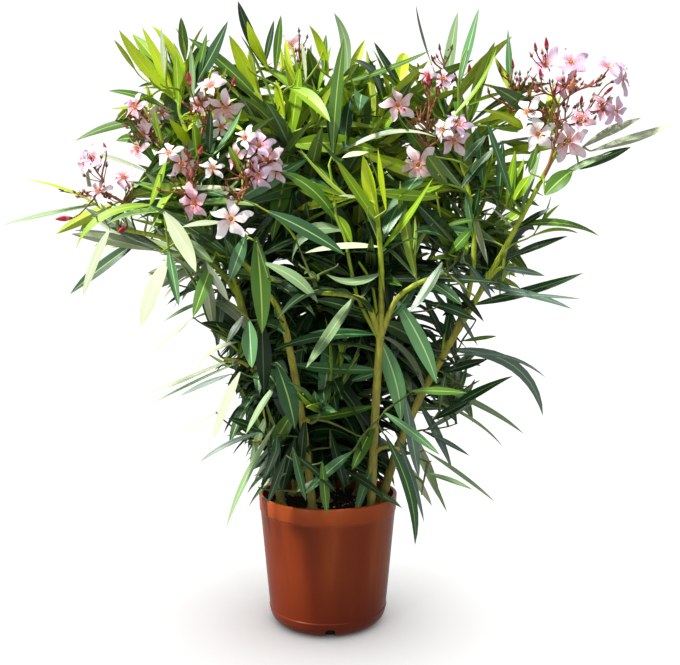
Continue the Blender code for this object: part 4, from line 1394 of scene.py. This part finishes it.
def clothe_shoot(crown, path, tip):
    """The leaves of a shoot, and the one that reaches its mass's tip."""
    leafy(crown, path, rng.uniform(*LEAFY_LENGTH), 0 if tip.head is None else BARE_WHORLS)
    if tip.peak is not None:
        young, _ = tone_of(tip.place)
        span = (tip.peak - tip.place).length
        leaf = Leaf(rng.choice(young), tip.place, tip.heading, out_from_axis(tip.place) * -1.0,
                    out_from_axis(tip.place) * jitter(0.2), span, END_LEAF_WIDTH, 0.5, jitter(0.3), 0.05)
        leaf.reach_to(tip.peak)
        crown.leaves.append(leaf)


def split_tips(tips, start):
    """Two or three groups of tips by where they lie."""
    count = 2 if len(tips) < 5 or rng.random() < 0.6 else 3
    seeds = [max(tips, key=lambda tip: (tip.place - start).length)]
    while len(seeds) < count:
        seeds.append(max(tips, key=lambda tip: min((tip.place - s.place).length for s in seeds)))
    groups = [[] for _ in seeds]
    for tip in tips:
        best = min(range(len(seeds)), key=lambda k: (tip.place - seeds[k].place).length)
        groups[best].append(tip)
    return [group for group in groups if group]


def branch(crown, start, heading, radius, tips):
    """Twigs fork from start towards their tips, each as thick as what it carries."""
    if len(tips) == 1:
        near = nearest_below(crown, tips[0].place)
        if (near - tips[0].place).length < DETOUR * (start - tips[0].place).length:
            start = near
            heading = (tips[0].place - near).lerp(UP, 0.1)
        grow_shoot(crown, start, heading, min(radius, SHOOT_RADIUS), tips[0])
        return
    middle = middle_of(tips)
    fork = start.lerp(middle, rng.uniform(*FORKS_AT))
    arrival = (middle - start).normalized().lerp(UP, 0.25)
    width = min(radius, TWIG_RADIUS + TWIG_RADIUS_MORE * math.sqrt(len(tips)))
    path = hermite(start, heading, fork, arrival, 6)
    add_twig(crown, path, radius, width, 8)
    for group in split_tips(tips, fork):
        aim = middle_of(group) - fork
        branch(crown, fork, arrival.lerp(aim.normalized(), 0.55), width, group)


def nearest_below(crown, place):
    """The nearest point of a limb or twig from which a twig can rise to the place."""
    below = [spot for spot in crown.spots if place.z - spot.z > LEAST_RISE * (place - spot).length]
    return min(below or crown.spots, key=lambda spot: (spot - place).length)


def clothe_mass(crown, line, tips):
    """Twigs from the end of a bough to its mass's shoots. A shoot that lies behind the end gets
    a twig of its own from further down."""
    place, heading, radius = line.end()
    ahead = [tip for tip in tips if (tip.place - place).dot(heading.lerp(UP, 0.4)) > 0.01]
    if ahead:
        branch(crown, place, heading, radius, ahead)
    for tip in tips:
        if tip not in ahead:
            start = nearest_below(crown, tip.place)
            if tip.head is None and tip.place.y < 0.0 and (tip.place - start).length > LONGEST_SHOOT:
                continue
            grow_shoot(crown, start, (tip.place - start).lerp(UP, 0.1), SIDE_SHOOT_RADIUS, tip)


def in_outline(place, margin):
    """Whether the photo would show a place inside the crown, and by how many pixels."""
    px, py = photo_pixel(place)
    rows, lefts, rights = zip(*OUTLINE)
    left, right = np.interp(py, rows, lefts), np.interp(py, rows, rights)
    return left + margin < px < right - margin


def photo_head(base, depth, ends):
    """The shoot's tip that carries a head of the photo, with its flowers and buds in place."""
    start = photo_point(*base, depth)
    blooms = []
    for px, py, kind, size, right, up in ends:
        place = photo_point(px, py, depth + jitter(HEAD_DEPTH))
        facing = to_camera(place) + Vector((right + jitter(0.3), 0.0, up + jitter(0.2)))
        blooms.append(Bloom(kind, place, facing, size / 1000.0))
    return Tip(start, (middle_of(blooms) - start).normalized(), None, blooms)


def free_head(tip):
    """Flowers and buds on a dome over a shoot's tip."""
    tip.place = tip.place.lerp(CROWN_MIDDLE, HEAD_INWARD)
    top = tip.place + tip.heading * rng.uniform(*HEAD_STALK)
    away = (out_from_axis(tip.place) * 0.5 + tip.heading).normalized()
    blooms = []
    for i in range(rng.randint(*HEAD_BLOOMS)):
        turn = Quaternion(away, i * 2.4 + jitter(0.4))
        lean = rng.uniform(*HEAD_LEAN)
        way = away * math.cos(lean) + (turn @ any_side(away)) * math.sin(lean)
        place = top + way * rng.uniform(*HEAD_REACH)
        if rng.random() < OPEN_SHARE:
            kind = rng.choice(("pink", "pink", "lilac", "white", "rose"))
            facing = way + out_from_axis(place) * 0.4
            blooms.append(Bloom(kind, place, facing, rng.uniform(*OPEN_SIZE)))
        else:
            kind = rng.choice((0, 0, 1, 2, 3))
            blooms.append(Bloom(kind, place, way + UP * 0.6, rng.uniform(*BUD_SIZE)))
    tip.head = blooms


def tips_in(crown, name, photo_tips):
    """The places of a mass's shoots: one under each of its tips and others spread through it."""
    tree = crown.trees[name]
    middle, peaks = peaks_of(name)
    low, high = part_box(name)
    upness = upright(middle.z, *MASS_UPRIGHT)
    tips = [photo_head(base, depth, ends) for mass, base, depth, ends in PHOTO_HEADS if mass == name]
    for peak in peaks:
        if peak.y < 0.1 and any(pixels_off(peak, tip) < TIP_SHARED for tip in photo_tips):
            continue
        if peak.y < OPEN_SIDE and name in OPEN_MASSES or not in_outline(peak, 0.0):
            continue
        aim = (peak - middle).normalized()
        heading = (aim + UP * 0.35 * upness).normalized()
        tips.append(Tip(peak - heading * rng.uniform(*END_LEAF), heading, peak))
    volume = mesh_volume(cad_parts[name].data)
    wanted = max(FEWEST_SHOOTS, min(MOST_SHOOTS, round(volume / SHOOT_VOLUME)))
    wanted = round(wanted * THINNED.get(name, 1.0))
    choices = []
    for _ in range(SHOOT_TRIES):
        place = Vector(rng.uniform(low[i], high[i]) for i in range(3))
        if crown.depth(tree, place) < SHOOT_DEPTH or not in_outline(place, SHOOT_MARGIN):
            continue
        heading = (UP * (0.25 + 0.95 * upness) + out_from_axis(place) * rng.uniform(0.25, 0.75)
                   + Vector((jitter(0.3), jitter(0.3), jitter(0.15)))).normalized()
        if crown.depth(tree, place + heading * 0.045) < 0.004:
            continue
        choices.append(Tip(place, heading))
    while len(tips) < wanted and choices:
        best = max(choices, key=lambda c: min([(c.place - tip.place).length for tip in tips] or [1.0]))
        choices.remove(best)
        tips.append(best)
    free = [tip for tip in tips if tip.head is None and tip.peak is None and tip.place.z < HEADS_BELOW
            and tip.place.y > HEADS_BEHIND]
    free.sort(key=lambda tip: -out_from_axis(tip.place).dot(tip.place) - tip.place.z)
    for tip in free[: MORE_HEADS.get(name, 0)]:
        free_head(tip)
    return tips


def carrier_of(crown, place, pixel):
    """The point of a limb or twig that a leaf of the photo grows from. Where none is near, a
    short side twig is grown to the place."""
    def miss(spot):
        return pixels_off(spot, pixel) + PIXELS_FOR_DEPTH * abs(spot.y - place.y)

    seen = min(crown.spots, key=miss)
    if pixels_off(seen, pixel) < SNAP_PIXELS and abs(seen.y - place.y) < SNAP_DEPTH:
        return seen
    near = min(crown.spots, key=lambda spot: (spot - place).length)
    if (near - place).length < SNAP_REACH:
        return near
    below = nearest_below(crown, place)
    if (below - place).length < LONGER_ALLOWED * (near - place).length:
        near = below
    way = (place - near).normalized()
    add_twig(crown, hermite(near, way.lerp(UP, 0.12), place, way.lerp(UP, 0.25), 9), *LEAF_TWIG_RADII, 6)
    return place


def photo_twig(crown, lines, row):
    """A limb that shows in the photo, from the point of another limb that shows at its foot."""
    name, lean, radius, pixels = row
    line = next(line for line in lines if line.name == name)
    foot = min((place for place, _ in line.fine), key=lambda place: pixels_off(place, pixels[0]))
    places = [foot] + [photo_point(px, py, foot.y - lean) for px, py in pixels[1:]]
    path = []
    for i, (start, end) in enumerate(zip(places, places[1:])):
        heading = places[i + 1] - places[max(i - 1, 0)]
        arrival = places[min(i + 2, len(places) - 1)] - start
        path += hermite(start, heading, end, arrival, 7)[: None if i == len(places) - 2 else -1]
    add_twig(crown, path, radius, radius * 0.6, 8, True)


def photo_leaf(crown, row):
    """A leaf of the photo, from its foot to its tip, and what stays clear of it."""
    x0, y0, x1, y1, width, family, depth, arch = row
    base = carrier_of(crown, photo_point(x0, y0, depth), (x0, y0))
    tip = photo_point(x1, y1, base.y + jitter(TIP_SPREAD) - TIP_NEARER)
    chord = tip - base
    across = chord.cross(to_camera(base)).normalized()
    rise = across if across.z > 0 else -across
    heading = chord.normalized() + rise * arch * ARCH_START
    upward = max(0.2, 0.75 - 1.4 * abs(arch))
    face = rise * upward + to_camera(base) + Vector((jitter(0.35), 0.0, jitter(0.35)))
    if family in SUNLIT:
        turned = across if across.dot(TO_SUN) > 0 else -across
        face = turned * upward + to_camera(base) + TO_SUN * SUN_TURN
    wide = width * (base - CAMERA_PLACE).length / FOCAL_PIXELS * PHOTO_LEAF_WIDER
    leaf = Leaf(family, base, heading, face, rise * arch * ARCH_BEND, chord.length * (1 + abs(arch)), wide,
                rng.uniform(0.12, 0.35), jitter(0.25), rng.uniform(0.05, 0.2))
    leaf.reach_to(tip)
    crown.leaves.append(leaf)
    for place in leaf.spine(5)[1:]:
        crown.keep_clear(place, to_camera(place), LEAF_CLEARANCE)
        if family in SUNLIT:
            crown.keep_clear(place, TO_SUN, LEAF_CLEARANCE)


def fill_core(crown):
    """Whorls of grown leaves on the twigs and limbs of the crown's middle: upright near its top,
    drooping low down and behind."""
    inside = [spot for spot in crown.spots if core_share(spot) < 1.0]
    low = [spot for spot in inside if spot.z < CORE_LOW]
    for i in range(CORE_WHORLS):
        place = rng.choice(low if i % 3 == 0 else inside)
        # Low in front, between the stems, the leaves get dark families: painted shade.
        in_painted_shade = place.z < SHADE_TOP and place.y < SHADE_BACK and abs(place.x - SHADE_MIDDLE) < SHADE_SIDE
        upness = upright(place.z, *CORE_UPRIGHT)
        axis = (UP + out_from_axis(place) * 0.3 + Vector((jitter(0.3), jitter(0.3), 0))).normalized()
        turn, length = rng.uniform(0, math.tau), rng.uniform(*CORE_LENGTH)
        angle = rng.uniform(55 - 35 * upness, 95 - 30 * upness)
        droop = rng.uniform(*CORE_DROOP) * (1.15 - upness)
        add_whorl(crown, place, axis, turn, length, angle, droop, GROWN, PAINTED_SHADE_FAMILIES if in_painted_shade else ())
    # At the stems' feet the leaves get dark families too: painted shade.
    feet = [spot for spot in crown.spots
            if spot.z < FEET_TOP and math.hypot(spot.x, spot.y) < POT_CLEAR_RADIUS]
    for _ in range(FEET_WHORLS):
        place = rng.choice(feet)
        axis = (UP + out_from_axis(place) * 0.2).normalized()
        add_whorl(crown, place, axis, rng.uniform(0, math.tau), rng.uniform(*FEET_LENGTH),
                  rng.uniform(*FEET_ANGLE), rng.uniform(*FEET_DROOP), GROWN, PAINTED_SHADE_FAMILIES)


def leaves_on_limb(crown, line, start_height, spacing, chance):
    """Grown, drooping leaves along a stem or bough. Some of their places stay bare."""
    along = 0.0
    turn = rng.uniform(0, math.tau)
    previous = line.fine[0][0]
    for place, _ in line.fine:
        along += (place - previous).length
        if along > spacing and place.z > start_height:
            axis = (place - previous).normalized()
            turn += math.pi / 3 + jitter(0.3)
            along = 0.0
            if rng.random() < chance:
                add_whorl(crown, place, axis, turn, LIMB_LENGTH, rng.uniform(*LIMB_ANGLE),
                          rng.uniform(*LIMB_DROOP), GROWN)
        previous = place


# Flowers

PETAL_COLOURS = {
    "pink": ((0.74, 0.360, 0.350), (0.770, 0.480, 0.515), (0.800, 0.590, 0.645), (0.825, 0.675, 0.735)),
    "rose": ((0.66, 0.200, 0.230), (0.710, 0.310, 0.390), (0.755, 0.460, 0.545), (0.785, 0.565, 0.650)),
    "lilac": ((0.70, 0.330, 0.400), (0.730, 0.430, 0.600), (0.755, 0.530, 0.710), (0.785, 0.610, 0.780)),
    "white": ((0.80, 0.560, 0.480), (0.840, 0.720, 0.715), (0.860, 0.795, 0.805), (0.870, 0.835, 0.840)),
}
PETAL_ROWS = 10
PETAL_COLUMNS = 9
PETAL_BANDS = (0, 0, 1, 1, 2, 2, 3, 3, 3)  # the material of each row of a petal's faces
# Profiles of a flower's middle, as radius and height.
TUBE = ((0.0011, -0.0200), (0.0015, -0.0120), (0.0020, -0.0085), (0.0036, -0.0035), (0.0043, 0.0002))
THROAT = ((0.0040, 0.0001), (0.0030, -0.0030), (0.0006, -0.0055))
CONE = ((0.0013, -0.0040), (0.0011, 0.0005), (0.0002, 0.0032))
HEART_COLOURS = {
    "flower_tube": (0.62, 0.20, 0.14), "flower_funnel": (0.88, 0.60, 0.57),
    "flower_throat": (0.88, 0.48, 0.10),
}
BUD_COLOURS = {
    "bud_crimson": (0.52, 0.035, 0.065), "bud_rose": (0.72, 0.17, 0.20),
    "bud_orange": (0.68, 0.26, 0.12), "bud_green": (0.17, 0.14, 0.045),
}
STALK_COLOURS = {"stalk_brown": (0.27, 0.085, 0.030), "sepal": (0.16, 0.040, 0.018)}
STALK_STEP = 0.006
STALK_END_RADIUS = 0.0011
THINNEST_STALK = 0.0013
SPENT_RADII = (0.0009, 0.0007)
CYME_FORKS_AT = (0.35, 0.5)
TUBE_LENGTH = 0.020
PETAL_COUNT = 5


def flower_frame(place, facing, roll):
    """A place and a turn whose Z is the way that the flower faces."""
    turn = Vector((0, 0, 1)).rotation_difference(facing) @ Quaternion((0, 0, 1), roll)
    return np.array(turn.to_matrix()), np.array(place)


def place_grid(grid, spot):
    turn, place = spot
    return grid @ turn.T + place


def petal_grid(size, lift, phase):
    """One petal of a pinwheel: a narrow claw, a broad slanting end and a soft wave."""
    t = np.linspace(0.0, 1.0, PETAL_ROWS)[:, None]
    s = np.linspace(-1.0, 1.0, PETAL_COLUMNS)[None, :]
    length, half = size, size * 0.40
    broad = 0.24 + 0.76 * np.sin(np.minimum(t / 0.72, 1.0) * math.pi / 2) ** 1.25
    end = np.sqrt(1.0 - 0.86 * np.clip((t - 0.60) / 0.40, 0.0, 1.0) ** 2)
    radial = 0.0032 + length * t * (1.0 + 0.20 * s * t - 0.07 * s**2 * t)
    across = s * half * broad * end + 0.16 * length * t**2
    wave = 0.045 * length * np.sin(4.0 * t + 3.0 * s + phase) * t
    height = length * (lift * t - (lift + 0.10) * t**2) + 0.10 * length * (s**2) * t + wave
    return np.stack(np.broadcast_arrays(radial, across, height), axis=-1)


def turned_grid(profile, sides):
    """A profile turned round the Z axis."""
    turn = np.arange(sides) * math.tau / sides
    return np.array([[(r * math.cos(a), r * math.sin(a), z) for a in turn] for r, z in profile])


def rotated(grid, angle):
    """The grid turned about the Z axis."""
    cosine, sine = math.cos(angle), math.sin(angle)
    x, y, z = grid[..., 0], grid[..., 1], grid[..., 2]
    return np.stack([x * cosine - y * sine, x * sine + y * cosine, z], axis=-1)


class Blossom:
    """Gathers the flowers, buds and their stalks, each kind in its own mesh."""

    def __init__(self):
        self.petals = {name: Sheets() for name in PETAL_COLOURS}
        self.hearts = Sheets()
        self.buds = Sheets()
        self.stalks = Sheets()

    def calyx(self, spot, size, base):
        """Five narrow sepals round the foot of a flower or bud."""
        for k in range(PETAL_COUNT):
            rows = []
            for t, half in ((0.0, 0.0011), (0.5, 0.0010), (1.0, 0.0001)):
                out = 0.0012 + 0.0022 * t
                rows.append([(out, -half, base + size * t), (out + 0.0003, 0.0, base + size * t),
                             (out, half, base + size * t)])
            self.stalks.add(place_grid(rotated(np.array(rows), math.tau * k / PETAL_COUNT), spot), 1)

    def flower(self, kind, place, facing, size):
        spot = flower_frame(place, facing, rng.uniform(0, math.tau))
        lift = rng.uniform(0.20, 0.75)
        for k in range(PETAL_COUNT):
            petal = petal_grid(size * rng.uniform(0.86, 1.06), lift + jitter(0.22), rng.uniform(0, 6))
            roll = Quaternion((1.0, 0.0, 0.0), jitter(0.35))
            petal = petal @ np.array(roll.to_matrix()).T
            bands = np.array(PETAL_BANDS)[:, None] * np.ones(PETAL_COLUMNS - 1, int)
            bands[2:6, PETAL_COLUMNS // 2 - 1] -= 1
            self.petals[kind].add(place_grid(rotated(petal, math.tau * k / PETAL_COUNT), spot), bands)
        for profile, sides, strips in ((TUBE, 10, ((0,), (0,), (1,), (1,))), (THROAT, 10, 2), (CONE, 6, 2)):
            self.hearts.add(place_grid(turned_grid(profile, sides), spot), strips, closed=True)
        for k in range(PETAL_COUNT):
            for tooth in (-1, 0, 1):
                tall = 0.0052 - 0.0014 * abs(tooth) + jitter(0.0006)
                rows = []
                for t, half in ((0.0, 0.0007), (0.6, 0.0005), (1.0, 0.0001)):
                    out, side = 0.0035 + 0.0020 * t, tooth * (0.0012 + 0.0007 * t)
                    rows.append([(out, side - half, tall * t), (out, side + half, tall * t)])
                turn = math.tau * (k + 0.18) / PETAL_COUNT
                self.hearts.add(place_grid(rotated(np.array(rows), turn), spot), 1)
        self.calyx(spot, 0.0055, -0.0205)

    def bud(self, place, facing, size, kind):
        """A pointed bud with a slight spiral. kind is the material."""
        spot = flower_frame(place, facing, rng.uniform(0, math.tau))
        sides, rows = 10, 9
        grid = np.zeros((rows, sides, 3))
        for i in range(rows):
            t = i / (rows - 1)
            thick = size * (0.035 + 0.115 * math.sin(math.pi * min(1.0, t * 1.02)) ** 0.9 * (1.25 - 0.55 * t))
            thick = thick if i < rows - 1 else size * 0.008
            for j in range(sides):
                angle = math.tau * j / sides
                radius = thick * (1.0 + 0.12 * math.sin(5 * (angle + 1.6 * t) / 2.5))
                grid[i, j] = (radius * math.cos(angle), radius * math.sin(angle), size * t)
        strips = np.array([kind + (1 if kind < 2 and i < 3 else 0) for i in range(rows - 1)])
        self.buds.add(place_grid(grid, spot), strips[:, None], closed=True)
        self.calyx(spot, 0.0045 + 0.05 * size, -0.0006)

    def stalk(self, start, heading, end, arrival, first, last):
        count = max(5, int((end - start).length / STALK_STEP))
        add_tube(self.stalks, hermite(start, heading, end, arrival, count), first, last, 6)

    def cyme(self, start, heading, ends, radius):
        """Flower stalks that fork in twos and threes towards their flowers and buds."""
        if len(ends) == 1:
            end = ends[0]
            behind = end.place - end.facing * (TUBE_LENGTH if end.open else 0.0)
            self.stalk(start, heading, behind, end.facing.lerp(heading, 0.3), radius, STALK_END_RADIUS)
            if end.open:
                self.flower(end.kind, end.place, end.facing, end.size)
            else:
                self.bud(end.place, end.facing, end.size, end.kind)
            return
        middle = middle_of(ends)
        self.spent(start.lerp(middle, 0.3), heading, rng.randint(2, 4))
        fork = start.lerp(middle, rng.uniform(*CYME_FORKS_AT))
        arrival = (middle - start).normalized()
        width = max(THINNEST_STALK, radius * 0.84)
        self.stalk(start, heading, fork, arrival, radius, width)
        for group in split_tips(ends, fork):
            aim = middle_of(group) - fork
            self.cyme(fork, arrival.lerp(aim.normalized(), 0.6), group, width)

    def spent(self, place, heading, count):
        """Short stalks whose flowers have dropped, or whose buds are still tiny."""
        for _ in range(count):
            way = (heading + Vector((jitter(0.9), jitter(0.9), jitter(0.4)))).normalized()
            end = place + way * rng.uniform(0.016, 0.034)
            self.stalk(place, way, end, way.lerp(UP, 0.4), *SPENT_RADII)
            self.bud(end, way.lerp(UP, 0.4), rng.uniform(0.005, 0.010), rng.choice((2, 3, 3, 0)))

    def put(self):
        for name, colours in PETAL_COLOURS.items():
            if self.petals[name].points:
                materials = [petal_material(f"petal_{name}_{i}", colour) for i, colour in enumerate(colours)]
                dress(self.petals[name].put("petals_" + name, materials))
        plain = (("flower_hearts", self.hearts, HEART_COLOURS), ("buds", self.buds, BUD_COLOURS))
        for name, sheets, colours in plain:
            materials = [petal_material(*row) for row in colours.items()]
            dress(sheets.put(name, materials))
        materials = [relief_material(name, colour, 0.5, 500.0, 0.3) for name, colour in STALK_COLOURS.items()]
        dress(self.stalks.put("flower_stalks", materials))


class Bloom:
    """An open flower (kind is a petal colour) or a bud (kind is its material's number)."""

    def __init__(self, kind, place, facing, size):
        self.open = isinstance(kind, str)
        self.kind, self.place, self.size = kind, place, size
        self.facing = facing.normalized()


# Stage


STRIP_WIDTH = 0.10
STRIP_HEIGHT = 1.1
STRIPS = (("strip_left", (-0.80, -1.25, 0.45), 2.9), ("strip_right", (0.42, -1.35, 0.45), 1.6))
PLANT_MIDDLE = Vector((0.0, 0.0, 0.45))
FLOOR_HALF = 20.0
FLOOR_GLOW = 0.68
# How far ambient occlusion reaches and how hard it dims the floor's glow: a painted shadow.
FLOOR_PAINTED_SHADOW_REACH = 0.27
FLOOR_PAINTED_SHADOW_POWER = 1.75
SUN_POWER = 6.9
SUN_ANGLE = 6.0
SKY_POWER = 0.50
SKY_SEEN = 1.1  # what the camera sees of it
WHITE = (1.0, 1.0, 1.0, 1.0)


def make_camera():
    data = bpy.data.cameras.new("camera")
    data.sensor_fit = "HORIZONTAL"
    data.sensor_width = SENSOR_WIDTH
    data.lens = FOCAL_PIXELS / PHOTO_WIDTH * SENSOR_WIDTH
    camera = add_object("camera", data)
    camera.location = CAMERA_PLACE
    camera.rotation_euler = (math.pi / 2 - CAMERA_TILT, 0.0, 0.0)
    bpy.context.scene.camera = camera


def add_light(name, kind, power, way):
    """A light that lies along way from what it lights."""
    light = add_object(name, bpy.data.lights.new(name, kind))
    light.data.energy = power
    light.rotation_euler = way.to_track_quat("Z", "Y").to_euler()
    return light


def make_floor():
    """A white floor. To the camera it glows, and ambient occlusion dims the glow near the pot and plant: a
    painted soft shadow.
    """
    floor = bpy.data.meshes.new("floor")
    corners = [(x * FLOOR_HALF, y * FLOOR_HALF, 0.0) for x, y in ((-1, -1), (1, -1), (1, 1), (-1, 1))]
    floor.from_pydata(corners, [], [(0, 1, 2, 3)])
    pale = new_material("floor", (0.95, 0.95, 0.95), 0.9, 0.0)
    nodes = Nodes(pale)
    nodes.shader.inputs["Emission Color"].default_value = WHITE
    # Ambient occlusion paints the soft shadow into the glow.
    near = nodes.add("AmbientOcclusion", samples=12)
    near.inputs["Distance"].default_value = FLOOR_PAINTED_SHADOW_REACH
    seen = nodes.math("MULTIPLY", nodes.add("LightPath").outputs["Is Camera Ray"], FLOOR_GLOW)
    shade = nodes.math("POWER", near.outputs["AO"], FLOOR_PAINTED_SHADOW_POWER)
    nodes.feed("Emission Strength", nodes.math("MULTIPLY", seen, shade))
    floor.materials.append(pale)
    ground = add_object("floor", floor)
    return ground


def make_sky():
    world = bpy.data.worlds.new("studio")
    world.use_nodes = True
    tree = world.node_tree
    background = tree.nodes["Background"]
    background.inputs["Color"].default_value = WHITE
    path = tree.nodes.new("ShaderNodeLightPath")
    strength = tree.nodes.new("ShaderNodeMix")
    strength.inputs["A"].default_value = SKY_POWER
    strength.inputs["B"].default_value = SKY_SEEN
    tree.links.new(path.outputs["Is Camera Ray"], strength.inputs["Factor"])
    tree.links.new(strength.outputs["Result"], background.inputs["Strength"])
    bpy.context.scene.world = world


def make_stage():
    """The floor, the sky, a sun that doesn't light the floor, and tall strips of light that give
    the pot and leaves their gloss."""
    ground = make_floor()
    sun = add_light("sun", "SUN", SUN_POWER, TO_SUN)
    sun.data.angle = math.radians(SUN_ANGLE)
    sun.data.color = (1.0, 0.985, 0.94)
    unlit = bpy.data.collections.new("unlit")
    unlit.objects.link(ground)
    unlit.collection_objects[0].light_linking.link_state = "EXCLUDE"
    sun.light_linking.receiver_collection = unlit
    for name, place, power in STRIPS:
        strip = add_light(name, "AREA", power, Vector(place) - PLANT_MIDDLE)
        strip.location = place
        strip.visible_camera = False
        strip.data.shape = "RECTANGLE"
        strip.data.size, strip.data.size_y = STRIP_WIDTH, STRIP_HEIGHT
    make_sky()
    bpy.context.scene.view_settings.view_transform = "Standard"


# The plant

make_camera()
make_stage()
make_pot()
make_soil()

stem_lines = [LimbLine(name, STEM_SIDES) for name in sorted(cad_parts) if name.startswith("stem_")]
for line in stem_lines:
    line.smooth()
bough_lines = [LimbLine(name, BOUGH_SIDES) for name in sorted(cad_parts) if name.startswith("bough_")]
carriers = list(stem_lines)
# bough_right grows from another bough, so it comes last.
for line in sorted(bough_lines, key=lambda line: line.name == "bough_right"):
    line.join(carriers)
    carriers.append(line)
make_bark("stems", stem_lines, STEM_BARK_SIDES)
make_bark("boughs", bough_lines, BOUGH_BARK_SIDES)

mass_names = sorted(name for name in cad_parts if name.startswith("mass_"))
crown = Crown(mass_names)
photo_tips = [(row[2], row[3]) for row in PHOTO_LEAVES]
for line in bough_lines + stem_lines:
    crown.spots += [place for place, _ in line.fine if place.z > LOWEST_LEAF]
for line in bough_lines:
    mass = line.name.replace("bough_", "mass_")
    clothe_mass(crown, line, tips_in(crown, mass, photo_tips))
blossom = Blossom()
for path, tip in crown.shoots:
    if tip.head is not None:
        blossom.cyme(tip.place, (path[-1] - path[-2]).normalized(), tip.head, CYME_RADIUS)
        for bloom in tip.head:
            if bloom.open:
                crown.keep_clear(bloom.place, bloom.facing, FLOWER_CLEARANCE)
                if bloom.place.y < 0.0:
                    crown.keep_clear(bloom.place, to_camera(bloom.place), FLOWER_CLEARANCE * 0.7)
                    crown.keep_clear(bloom.place, TO_SUN, FLOWER_CLEARANCE * 0.8)
for row in PHOTO_TWIGS:
    photo_twig(crown, stem_lines, row)
for row in PHOTO_LEAVES:
    photo_leaf(crown, row)
for line in stem_lines + bough_lines:
    if line.name in FRONT_LIMBS:
        for place, _ in line.fine[::3]:
            crown.keep_clear(place, to_camera(place), STEM_CLEARANCE)
crown.close_list()
for path, tip in crown.shoots:
    clothe_shoot(crown, path, tip)
for line in bough_lines:
    leaves_on_limb(crown, line, *BOUGH_LEAVES)
for line in stem_lines:
    leaves_on_limb(crown, line, *STEM_LEAVES)
fill_core(crown)
make_leaves(crown.leaves, mass_names)
# The low twigs' darker olive is partly painted shade.
twigs = crown.twigs.put("twigs", [relief_material("twig_green", (0.26, 0.38, 0.025), 0.5, 300.0, 0.3),
                                  relief_material("twig_olive_painted_shade", (0.085, 0.120, 0.022), 0.6, 300.0, 0.3)])
dress(twigs)
blossom.put()
